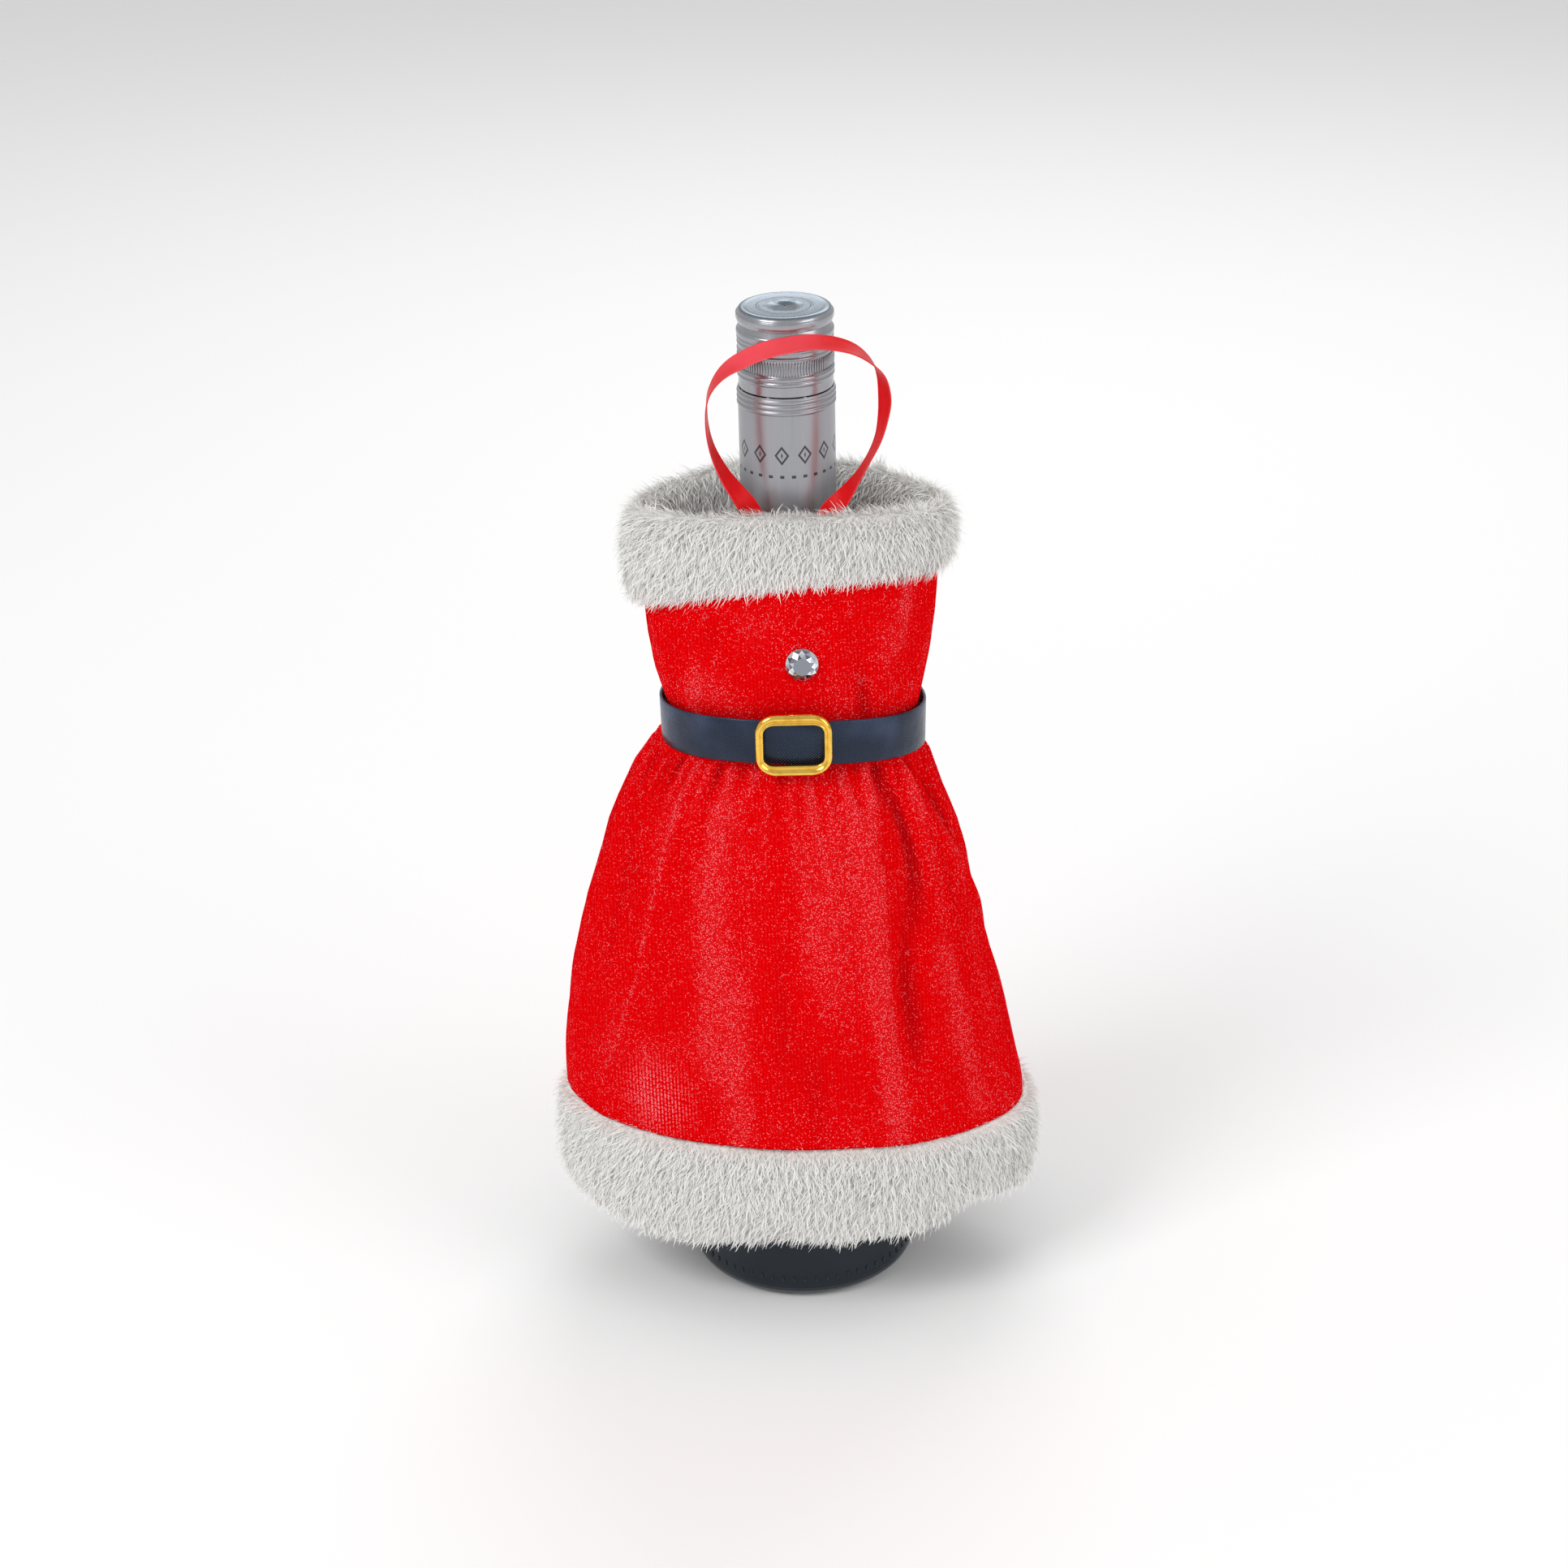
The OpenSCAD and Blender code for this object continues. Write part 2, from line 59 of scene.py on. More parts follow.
eye = Vector((0, -1.0, 0.64558))
aim = Vector((0, 0, 0.155))
roll = math.radians(-1.2204)
forward = (aim - eye).normalized()
level = Vector((1, 0, 0))
upward = level.cross(forward)
right = level * math.cos(roll) + upward * math.sin(roll)
upward = upward * math.cos(roll) - level * math.sin(roll)

camera = bpy.data.objects.new("camera", bpy.data.cameras.new("camera"))
camera.data.sensor_width = 36
camera.data.lens = 79.715
camera.data.shift_x = -0.00745
camera.data.shift_y = 0.0296
camera.matrix_world = Matrix.Translation(eye) @ Matrix((right, upward, -forward)).transposed().to_4x4()
scene.collection.objects.link(camera)
scene.camera = camera


def soft_light(name, place, width, height, power):
    light = bpy.data.lights.new(name, "AREA")
    light.shape, light.size, light.size_y, light.energy = "RECTANGLE", width, height, power
    lamp = bpy.data.objects.new(name, light)
    toward = (Vector((0, 0, 0.16)) - Vector(place)).to_track_quat("-Z", "Y")
    lamp.matrix_world = Matrix.Translation(place) @ toward.to_matrix().to_4x4()
    scene.collection.objects.link(lamp)


soft_light("key_light", (-0.95, -0.85, 1.25), 0.7, 0.7, 10.5)
soft_light("fill_light", (1.2, -0.8, 0.75), 0.9, 0.9, 5.6)
soft_light("back_light", (0.2, 1.2, 1.1), 1.0, 0.6, 5.5)

scene.world = bpy.data.worlds.new("studio")
scene.world.use_nodes = True
scene.world.node_tree.nodes["Background"].inputs["Color"].default_value = (1, 1, 1, 1)
scene.world.node_tree.nodes["Background"].inputs["Strength"].default_value = 0.6


class Wire:
    """An output socket; + - * / between wires and numbers add Math nodes."""

    def __init__(self, net, out):
        self.net, self.out = net, out

    def __add__(self, other):
        return self.net.math("ADD", self, other)

    def __sub__(self, other):
        return self.net.math("SUBTRACT", self, other)

    def __mul__(self, other):
        return self.net.math("MULTIPLY", self, other)

    def __truediv__(self, other):
        return self.net.math("DIVIDE", self, other)

    def __rsub__(self, other):
        return self.net.math("SUBTRACT", other, self)

    __radd__, __rmul__ = __add__, __mul__


class Net:
    """A node tree, filled one node at a time: its type, its settings, then its sockets."""

    def __init__(self, tree):
        self.tree = tree

    def node(self, kind, settings=None, sockets=None, out=0):
        made = self.tree.nodes.new(kind)
        for key, value in (settings or {}).items():
            if key == "stops":
                ramp = made.color_ramp.elements
                while len(ramp) < len(value):
                    ramp.new(0.5)
                for stop, (at, colour) in zip(ramp, value):
                    stop.position, stop.color = at, colour
            else:
                setattr(made, key, value)
        for key, value in (sockets or {}).items():
            for item in value if isinstance(value, list) else [value]:
                if isinstance(item, Wire):
                    self.tree.links.new(item.out, made.inputs[key])
                else:
                    made.inputs[key].default_value = item
        return Wire(self, made.outputs[out])

    def math(self, operation, *values):
        return self.node("ShaderNodeMath", {"operation": operation}, dict(enumerate(values)))

    def smooth(self, value, low, high):
        return self.node("ShaderNodeMapRange", {"interpolation_type": "SMOOTHSTEP"},
                         {"Value": value, "From Min": low, "From Max": high})

    def noise(self, at, scale, detail=2.0, roughness=0.5):
        return self.node("ShaderNodeTexNoise", None,
                         {"Vector": at, "Scale": scale, "Detail": detail, "Roughness": roughness})

    def mix(self, amount, first, second, blend="MIX"):
        return self.node("ShaderNodeMix", {"data_type": "RGBA", "blend_type": blend},
                         {"Factor": amount, 6: first, 7: second}, out=2)

    def split(self, at):
        parts = self.node("ShaderNodeSeparateXYZ", None, {"Vector": at}).out.node
        return [Wire(self, out) for out in parts.outputs]


class Finish(Net):
    """A material. Sockets given by name are constants on the shader."""

    def __init__(self, name, **constants):
        self.material = bpy.data.materials.new(name)
        self.material.use_nodes = True
        super().__init__(self.material.node_tree)
        self.shader = self.tree.nodes["Principled BSDF"]
        for socket, value in constants.items():
            self.shader.inputs[socket.replace("_", " ")].default_value = value

    def place(self):
        return self.node("ShaderNodeTexCoord", out=3)

    def feed(self, socket, wire):
        self.tree.links.new(wire.out, self.shader.inputs[socket])

    def bump(self, height, depth, strength=1.0):
        self.feed("Normal", self.node("ShaderNodeBump", None,
                                      {"Height": height, "Distance": depth, "Strength": strength}))


def new_piece(name, points, faces, material, smooth=True):
    mesh = bpy.data.meshes.new(name)
    mesh.from_pydata([tuple(p) for p in points], [], [tuple(f) for f in faces])
    mesh.materials.append(material)
    if smooth:
        mesh.shade_smooth()
    piece = bpy.data.objects.new(name, mesh)
    scene.collection.objects.link(piece)
    return piece


floor_finish = Finish("pale_floor", Base_Color=(0.98, 0.98, 0.98, 1), Roughness=0.9)
floor = new_piece("floor", [(-6, -6, -0.0004), (6, -6, -0.0004), (6, 6, -0.0004), (-6, 6, -0.0004)],
                  [(0, 1, 2, 3)], floor_finish.material)


# ---- Bottle: tall green-black glass, blown in a mould, with a stippled bearing ring low on the heel. The
# wine inside is too dark to see through the glass.

dark_glass = Finish("dark_glass", Roughness=0.06, IOR=1.52, Specular_IOR_Level=0.42,
                    Specular_Tint=(0.75, 0.86, 1.0, 1))
at = dark_glass.place()
streak = dark_glass.noise(at, 60, 3)
dark_glass.feed("Base Color", dark_glass.mix(streak, (0.004, 0.006, 0.008, 1), (0.010, 0.014, 0.020, 1)))
dark_glass.bump(dark_glass.noise(at, 90, 2), 0.0002, 0.35)
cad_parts["bottle_glass"].data.materials[0] = dark_glass.material

wine_finish = Finish("wine", Roughness=0.1)
at = wine_finish.place()
wine_finish.feed("Base Color", wine_finish.mix(wine_finish.noise(at, 30), (0.05, 0.002, 0.008, 1),
                                               (0.08, 0.004, 0.012, 1)))
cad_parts["wine"].data.materials[0] = wine_finish.material

MM = 0.001


def grid_faces(rows, cols, closed_cols=False, closed_rows=False):
    faces = []
    for r in range(rows if closed_rows else rows - 1):
        for c in range(cols if closed_cols else cols - 1):
            d, n = (c + 1) % cols, (r + 1) % rows
            faces.append((r * cols + c, r * cols + d, n * cols + d, n * cols + c))
    return faces


class Recipe(Net):
    """A Geometry Nodes tree with named inputs, run once on a base mesh."""

    def __init__(self, name, **inputs):
        super().__init__(bpy.data.node_groups.new(name, "GeometryNodeTree"))
        self.tree.interface.new_socket("Geometry", in_out="INPUT", socket_type="NodeSocketGeometry")
        kinds = {float: "NodeSocketFloat", int: "NodeSocketInt"}
        for label, value in inputs.items():
            item = self.tree.interface.new_socket(label, in_out="INPUT", socket_type=kinds[type(value)])
            item.default_value = value
        self.tree.interface.new_socket("Geometry", in_out="OUTPUT", socket_type="NodeSocketGeometry")
        self.entry = self.tree.nodes.new("NodeGroupInput")
        self.exit = self.tree.nodes.new("NodeGroupOutput")

    def given(self, label):
        return Wire(self, self.entry.outputs[label])

    def rotated(self, first, second):
        return self.node("FunctionNodeRotateRotation", {"rotation_space": "LOCAL"},
                         {"Rotation": first, "Rotate By": second})

    def end(self, shape, material):
        solid = self.node("GeometryNodeRealizeInstances", None, {"Geometry": shape})
        done = self.node("GeometryNodeSetMaterial", None, {"Geometry": solid, "Material": material})
        self.tree.links.new(done.out, self.exit.inputs[0])

    def run(self, name, base, material, **values):
        """Runs the tree on a base object and gives back a plain piece in its place."""
        step = base.modifiers.new("recipe", "NODES")
        step.node_group = self.tree
        for item in self.tree.interface.items_tree:
            if item.in_out == "INPUT" and item.name in values:
                step[item.identifier] = values[item.name]
        bpy.context.view_layer.update()
        seen = base.evaluated_get(bpy.context.evaluated_depsgraph_get())
        mesh = bpy.data.meshes.new_from_object(seen)
        mesh.name = name
        base.modifiers.remove(step)
        bpy.data.objects.remove(base)
        mesh.materials.clear()
        mesh.materials.append(material)
        mesh.shade_smooth()
        piece = bpy.data.objects.new(name, mesh)
        scene.collection.objects.link(piece)
        return piece


def bead_recipe(name, material, per_bead):
    """Sets a small flattened bead on every point of the base, turned to the point's normal."""
    recipe = Recipe(name, Width=0.001, Height=0.001, Depth=0.001)
    sizes = recipe.node("ShaderNodeCombineXYZ", None, {"X": recipe.given("Width"), "Y": recipe.given("Height"),
                                                        "Z": recipe.given("Depth")})
    bead = recipe.node("GeometryNodeMeshUVSphere", None,
                       {"Segments": per_bead, "Rings": per_bead // 2, "Radius": 0.5})
    points = recipe.node("GeometryNodeMeshToPoints", None, {"Mesh": recipe.given("Geometry")})
    outward = recipe.node("GeometryNodeInputNamedAttribute", {"data_type": "FLOAT_VECTOR"},
                          {"Name": "outward"})
    along = recipe.node("GeometryNodeInputNamedAttribute", {"data_type": "FLOAT_VECTOR"}, {"Name": "along"})
    turned_to = recipe.node("FunctionNodeAxesToRotation", {"primary_axis": "Z", "secondary_axis": "X"},
                            {"Primary Axis": outward, "Secondary Axis": along})
    beads = recipe.node("GeometryNodeInstanceOnPoints", None,
                        {"Points": points, "Instance": bead, "Rotation": turned_to, "Scale": sizes})
    recipe.end(beads, material)
    return recipe


def marked_points(points, outward, along):
    """A base mesh of loose points that carry the directions a bead is set to."""
    base = new_piece("marks", points, [], floor_finish.material)
    for label, values in (("outward", outward), ("along", along)):
        mark = base.data.attributes.new(label, "FLOAT_VECTOR", "POINT")
        mark.data.foreach_set("vector", np.asarray(values, dtype=np.float32).ravel())
    return base


glass_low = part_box("bottle_glass")[0]
heel_r = -glass_low[0]
spots = [math.radians(a) for a in np.arange(0, 360, 360 / 64)]
stipple = bead_recipe("heel_stipple", dark_glass.material, 8).run(
    "heel_stipple",
    marked_points([(math.cos(a) * (heel_r - 0.15 * MM), math.sin(a) * (heel_r - 0.15 * MM), 8.2 * MM)
                   for a in spots],
                  [(math.cos(a), math.sin(a), 0) for a in spots],
                  [(0, 0, 1) for a in spots]),
    dark_glass.material, Width=2.6 * MM, Height=1.1 * MM, Depth=1.5 * MM)
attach(stipple, "bottle")


# ---- Screw cap: drawn aluminium with a satin silver lacquer, rolled on over the glass thread. The shell
# has rolled beads and a knurled grip; below the tear line its sleeve stays on the neck.

silver = Finish("satin_silver", Metallic=0.85)
at = silver.place()
x, y, z = silver.split(at)
brushed = silver.noise(silver.node("ShaderNodeMapping", None, {"Vector": at, "Scale": (1, 1, 0.06)}), 900, 3)
lid_and_painted_shade = silver.smooth(z, 329.2 * MM, 329.7 * MM)
tone = silver.mix(brushed, (0.33, 0.335, 0.36, 1), (0.41, 0.415, 0.44, 1))
# The flat top of the lid is painted a darker blue-grey than the sides: painted shade on the top.
silver.feed("Base Color", silver.mix(lid_and_painted_shade, tone, (0.17, 0.21, 0.25, 1)))
silver.feed("Roughness", 0.22 + brushed * 0.08)

# A six-petalled rosette in a ring, pressed into the lid
from_middle = silver.math("SQRT", x * x + y * y) / MM
petals = silver.math("ABSOLUTE", silver.math("COSINE", silver.math("ARCTAN2", y, x) * 3))
rosette = 1 - silver.smooth(silver.math("ABSOLUTE", from_middle - petals * 5.6), 0.25, 0.6)
ring = 1 - silver.smooth(silver.math("ABSOLUTE", from_middle - 8.2), 0.2, 0.5)
pressed = silver.math("MAXIMUM", rosette, ring) * lid_and_painted_shade
silver.bump(silver.noise(at, 2600, 2) * 0.12 + pressed, 0.0003, 0.6)

# A printed band of lozenges and dashes round the sleeve, in dark grey ink
printed = Finish("printed_sleeve", Metallic=0.85)
at = printed.place()
x, y, z = printed.split(at)
turn = printed.math("ARCTAN2", y, x) / (2 * math.pi)
cell = printed.math("FRACT", turn * 13 + 20) - 0.5
across = printed.math("ABSOLUTE", cell)
up = printed.math("ABSOLUTE", z - 287.4 * MM) / (3.1 * MM)
lozenge = across * 3.1 + up
ink = 1 - printed.smooth(printed.math("ABSOLUTE", lozenge - 0.82), 0.12, 0.2)
ink = printed.math("MAXIMUM", ink, 1 - printed.smooth(across * 9 + up * 1.1, 0.3, 0.42))
dash = printed.math("ABSOLUTE", printed.math("FRACT", turn * 26 + 20.5) - 0.5)
dash = (1 - printed.smooth(dash, 0.16, 0.2)) * (
    1 - printed.smooth(printed.math("ABSOLUTE", z - 280.6 * MM), 0.4 * MM, 0.52 * MM))
ink = printed.math("MAXIMUM", ink, dash)
brushed = printed.noise(printed.node("ShaderNodeMapping", None, {"Vector": at, "Scale": (1, 1, 0.06)}),
                        900, 3)
lacquer = printed.mix(brushed, (0.33, 0.335, 0.36, 1), (0.41, 0.415, 0.44, 1))
printed.feed("Base Color", printed.mix(ink * 0.86, lacquer, (0.02, 0.021, 0.028, 1)))
printed.feed("Roughness", 0.30 + brushed * 0.12)
printed.bump(printed.noise(at, 2600, 2), 0.00005, 0.25)


def rolled(z, beads):
    return sum(high * math.exp(-((z - at) / wide) ** 4) for at, high, wide in beads)


shell_beads = [(327.5, 0.42, 1.25), (322.6, 0.42, 1.0), (320.8, 0.28, 0.42), (319.4, 0.28, 0.42),
               (317.3, 0.3, 0.42), (310.9, 0.42, 0.7), (309.3, 0.36, 0.6), (324.6, -0.55, 0.8)]
shell_steps = 128
outer = [(14.36 + rolled(z, shell_beads) - (0.12 if 311.9 < z < 316.4 else 0), z)
         for z in np.arange(305.55, 328.4, 0.15)]
crown = [(14.36 - 1.6 * (1 - math.cos(a)), 328.3 + 1.62 * math.sin(a)) for a in np.radians(range(5, 91, 8))]
top = [(12.3, 329.93), (11.9, 329.8), (11.4, 329.74), (6, 329.72), (0.4, 329.71)]
under = [(0.4, 329.62), (12.9, 329.62), (13.6, 329.1), (14.16, 327.8), (14.16, 305.55)]
profile = outer + crown + top + under
rings = len(profile)
points = [(r * math.cos(2 * math.pi * k / shell_steps) * MM, r * math.sin(2 * math.pi * k / shell_steps) * MM,
           z * MM) for r, z in profile for k in range(shell_steps)]
cap_shell = new_piece("cap_shell_skin", points, grid_faces(rings, shell_steps, True, True), silver.material)
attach(cap_shell, "cap")
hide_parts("cap_shell")

grip = [math.radians(a) for a in np.arange(0, 360, 360 / 96)]
knurls = bead_recipe("knurls", silver.material, 8).run(
    "cap_knurls",
    marked_points([(math.cos(a) * 14.3 * MM, math.sin(a) * 14.3 * MM, 314.15 * MM) for a in grip],
                  [(math.cos(a), math.sin(a), 0) for a in grip], [(0, 0, 1) for a in grip]),
    silver.material, Width=4.9 * MM, Height=0.66 * MM, Depth=0.9 * MM)
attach(knurls, "cap")

sleeve_beads = [(303.9, 0.36, 0.55), (302.2, 0.36, 0.55), (300.5, 0.36, 0.55)]
outer = [(14.68 + rolled(z, sleeve_beads), z) for z in [265.0, 265.2, 270, 275, 280, 285, 290, 295]
         + list(np.arange(298.5, 305.3, 0.12))]
profile = outer + [(14.35, 305.25), (14.32, 265.0)]
points = [(r * math.cos(2 * math.pi * k / shell_steps) * MM, r * math.sin(2 * math.pi * k / shell_steps) * MM,
           z * MM) for r, z in profile for k in range(shell_steps)]
cap_sleeve = new_piece("cap_sleeve_skin", points, grid_faces(len(profile), shell_steps, True, True),
                       printed.material)
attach(cap_sleeve, "bottle")
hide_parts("cap_sleeve")

# The uncut tabs of the tear line
tab_turns = [math.radians(22.5 + 45 * k) for k in range(8)]
tabs = bead_recipe("tabs", silver.material, 8).run(
    "cap_tear_tabs",
    marked_points([(math.cos(a) * 14.5 * MM, math.sin(a) * 14.5 * MM, 305.2 * MM) for a in tab_turns],
                  [(math.cos(a), math.sin(a), 0) for a in tab_turns], [(0, 0, 1) for a in tab_turns]),
    silver.material, Width=0.75 * MM, Height=1.3 * MM, Depth=0.3 * MM)
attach(tabs, "bottle")

liner_finish = Finish("cap_liner", Roughness=0.5)
at = liner_finish.place()
liner_finish.feed("Base Color", liner_finish.mix(liner_finish.noise(at, 400), (0.8, 0.8, 0.77, 1),
                                                 (0.86, 0.86, 0.84, 1)))
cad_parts["cap_liner"].data.materials[0] = liner_finish.material


# ---- Velvet of the dress: red crushed velvet with a short bright pile on a knitted ground. Front and back
# panels are cut to shape and sewn at the sides; the skirt is gathered into the waist.

velvet = Finish("red_velvet", Roughness=0.85, Sheen_Weight=0.015, Sheen_Roughness=0.35,
                Sheen_Tint=(1.0, 0.10, 0.22, 1), Specular_IOR_Level=0.0)
at = velvet.place()
x, y, z = velvet.split(at)
crush = velvet.noise(at, 55, 3, 0.6)
pile = velvet.noise(at, 1900, 3, 0.7)
# The brushed attribute holds painted light and shade: above 0 a painted highlight on fold ridges and streaks, below 0
# painted shade in the valleys.
brushed = velvet.node("ShaderNodeAttribute", {"attribute_name": "brushed"}, out=2)
pile_painted_highlight = velvet.smooth(brushed + (crush - 0.5) * 0.55 + (pile - 0.5) * 0.5, 0.05, 0.95)
pile_painted_shade = velvet.smooth(0 - brushed + (pile - 0.5) * 0.4, 0.05, 1.0)
# Painted glints: fine pinkish-white specks in the base colour, denser where the painted highlight lies.
cells = velvet.node("ShaderNodeTexVoronoi", None, {"Vector": at, "Scale": 2600})
glint_share = velvet.node("ShaderNodeTexWhiteNoise", None,
                          {"Vector": velvet.node("ShaderNodeTexVoronoi", None,
                                                 {"Vector": at, "Scale": 2600}, out=2)})
rare = velvet.smooth(glint_share + (crush - 0.5) * 0.35 + pile_painted_highlight * 0.34, 0.80, 1.0)
glint = (1 - velvet.smooth(cells, 0.2, 0.5)) * rare
tone = velvet.mix(velvet.smooth(pile, 0.35, 0.75), (0.66, 0.0, 0.0008, 1), (0.80, 0.0002, 0.0016, 1))
# Painted highlight as a pale pink haze, then painted shade as a darker red, then the painted glints.
tone = velvet.mix(pile_painted_highlight * velvet.smooth(pile, 0.38, 0.66) * 0.42, tone, (0.74, 0.028, 0.034, 1))
tone = velvet.mix(pile_painted_shade * 0.75, tone, (0.33, 0.0004, 0.0018, 1))
tone = velvet.mix(glint * 0.9, tone, (1.0, 0.30, 0.34, 1))

# Where the pile is worn flat on the left of the skirt, the columns of the knitted ground show
knit_patch = velvet.node("ShaderNodeVectorMath", {"operation": "DISTANCE"},
                         {0: velvet.node("ShaderNodeMapping", None, {"Vector": at, "Scale": (1.0, 0.6, 0.85)}),
                          1: (-0.0460, -0.0234, 0.0680)}, out=1)
worn = 1 - velvet.smooth(knit_patch + (crush - 0.5) * 0.012, 0.002, 0.0155)
column = velvet.math("SINE", (x * 1.12 + z * 0.02) * (2 * math.pi / (1.25 * MM)))
stitch = velvet.math("SINE", z * (2 * math.pi / (1.5 * MM)) + velvet.noise(at, 500, 2) * 16)
knit = velvet.smooth(column * 0.8 + stitch * 0.45, 0.3, 1.0)
tone = velvet.mix(knit * worn * 0.75, tone, (0.95, 0.25, 0.30, 1))
tone = velvet.mix(knit * (1 - worn) * 0.05, tone, (0.95, 0.12, 0.15, 1))
velvet.feed("Base Color", tone)
velvet.bump(pile * 0.6 + knit * 0.25 + velvet.noise(at, 420, 2) * 0.8, 0.00022, 0.55)

front_z = np.array([66, 69, 78, 87, 96, 105, 114, 123, 132, 141, 150, 159, 167, 176, 185, 190, 196, 201, 210,
                    219, 228, 236, 250])
left_w = np.array([77.0, 77.1, 77.0, 76.2, 74.9, 73.7, 71.7, 69.7, 67.5, 64.7, 61.9, 59.5, 56.3, 51.8, 45.4,
                   40.6, 39.0, 39.4, 41.2, 42.9, 43.9, 44.3, 44.6])
right_w = np.array([73.9, 73.4, 71.2, 69.2, 67.3, 65.1, 62.4, 60.5, 58.9, 56.9, 54.9, 52.2, 48.8, 45.2, 41.8,
                    40.2, 39.2, 39.6, 41.4, 43.0, 44.2, 44.6, 44.8])
waist_z, hem_seam_z, collar_seam_z = 193.9, 66.0, 240.0
waist_b, skirt_b, bust_b = 27.0, 50.0, 23.7
straight = 8.1


def half_depth(z):
    if z >= waist_z:
        return waist_b + (bust_b - waist_b) * (z - waist_z) / (collar_seam_z - waist_z)
    drop = max(0.0, waist_z - z - straight) / (waist_z - hem_seam_z - straight)
    return waist_b + (skirt_b - waist_b) * drop ** 0.62


def tilt(z):
    """The rise of the front and back, and the lean to the right, of a level line of the dress."""
    if z >= waist_z:
        share = min(1.0, (z - waist_z) / (collar_seam_z - waist_z))
        return 4 + 3 * share, -1.5 + 6 * share
    share = (waist_z - z) / (waist_z - hem_seam_z)
    return 4 - 1.5 * share, -1.5 - 1.5 * share


def dress_point(turn, z, out=0.0):
    """A point of the dress at a turn from its front (radians, towards +X), in millimetres."""
    a = (np.interp(z, front_z, left_w) * (1 - math.sin(turn)) + np.interp(z, front_z, right_w)
         * (1 + math.sin(turn))) / 2
    b = half_depth(z)
    rise, lean = tilt(z)
    ax, by = a * math.sin(turn), -b * math.cos(turn)
    nx, ny = ax / a ** 2, by / b ** 2
    length = math.hypot(nx, ny)
    return (ax + out * nx / length, by + out * ny / length,
            z + rise * math.cos(turn) ** 2 + lean * math.sin(turn))


# Long folds of the skirt: turn in degrees and height along the fold, height of the fold, its half width
# in degrees at the waist and at the hem. A negative height is a valley.
folds = [
    ([(24, 186), (25, 168), (26, 150), (24.5, 132), (23.5, 112), (23.5, 92), (25, 68)], 1.9, 5.5, 7.5),
    ([(37, 186), (43, 168), (42, 150), (37, 133), (33, 118), (32, 92)], -2.4, 5.0, 6.0),
    ([(50, 187), (57, 172), (64, 160), (71, 149), (84, 132)], 2.3, 4.0, 5.5),
    ([(61, 187), (68, 176), (75, 164), (84, 148), (97, 134)], -2.4, 6.0, 8.0),
    ([(-45, 186), (-44, 165), (-45.5, 141), (-47, 114), (-52, 90), (-57, 76)], 0.9, 3.0, 4.0),
    ([(-58, 186), (-60, 160), (-63, 120), (-66, 90)], -1.0, 7.0, 9.0),
    ([(-1, 187), (2, 176), (5, 166), (7, 150)], -1.2, 3.0, 4.0),
    ([(9, 187), (10, 170), (9, 140), (8, 100)], 1.0, 4.5, 8.0),
    ([(-30, 187), (-28, 177), (-25, 168)], -1.3, 3.0, 3.5),
    ([(-17, 187), (-18, 165), (-20, 130), (-22, 90)], 0.9, 4.5, 8.0),
    ([(128, 187), (131, 150), (133, 100), (134, 70)], 2.6, 5.5, 8.0),
    ([(112, 187), (113, 160), (111, 110)], -2.4, 5.5, 7.5),
    ([(150, 187), (152, 150), (155, 90)], -2.0, 5.0, 7.0),
    ([(169, 187), (168, 150), (170, 100), (171, 70)], 2.2, 6.0, 9.0),
    ([(187, 187), (189, 160), (188, 100)], -2.2, 4.5, 7.5),
    ([(207, 187), (206, 150), (203, 100), (202, 70)], 2.4, 6.0, 9.0),
    ([(226, 187), (228, 150), (231, 90)], -2.3, 5.0, 8.0),
    ([(246, 187), (247, 160), (250, 110)], 1.8, 5.0, 7.0),
]


def fold_height(turn_deg, z):
    total = 0.0
    for path, high, wide_top, wide_foot in folds:
        heights = [p[1] for p in path][::-1]
        turns = [p[0] for p in path][::-1]
        if z < heights[0] - 16:
            continue
        middle = np.interp(z, heights, turns)
        wide = wide_foot + (wide_top - wide_foot) * min(1, max(0, (z - 66) / 120))
        off = ((turn_deg - middle + 180) % 360 - 180) / wide
        fade = min(1, max(0, (z - heights[0] + 16) / 16)) * min(1, max(0, (189 - z) / 5))
        fade *= min(1, max(0.15, (z - 64) / 40))
        fade *= 1 - 0.75 * math.exp(-((abs(middle) - 92) / 16) ** 2)
        total += high * fade * math.exp(-off * off)
    return total


def gather_height(turn_deg, z):
    """Small pleats that run out below the waist, in millimetres."""
    near = min(1, max(0, (188.8 - z) / 4)) * math.exp(-max(0, 184 - z) / 15)
    arc = turn_deg * 0.75
    wander = noise.noise(Vector((arc * 0.035, z * 0.02, 4.0))) * 9
    first = math.sin((arc + wander) * 2 * math.pi / 6.3 + 1.7 * noise.noise(Vector((arc * 0.11, 1, 2))))
    second = math.sin((arc - wander) * 2 * math.pi / 10.7 + 2.4)
    calm = 1 - 0.5 * math.exp(-((abs((turn_deg + 180) % 360 - 180) - 90) / 14) ** 2)
    return near * calm * (1.05 * first + 0.95 * second)


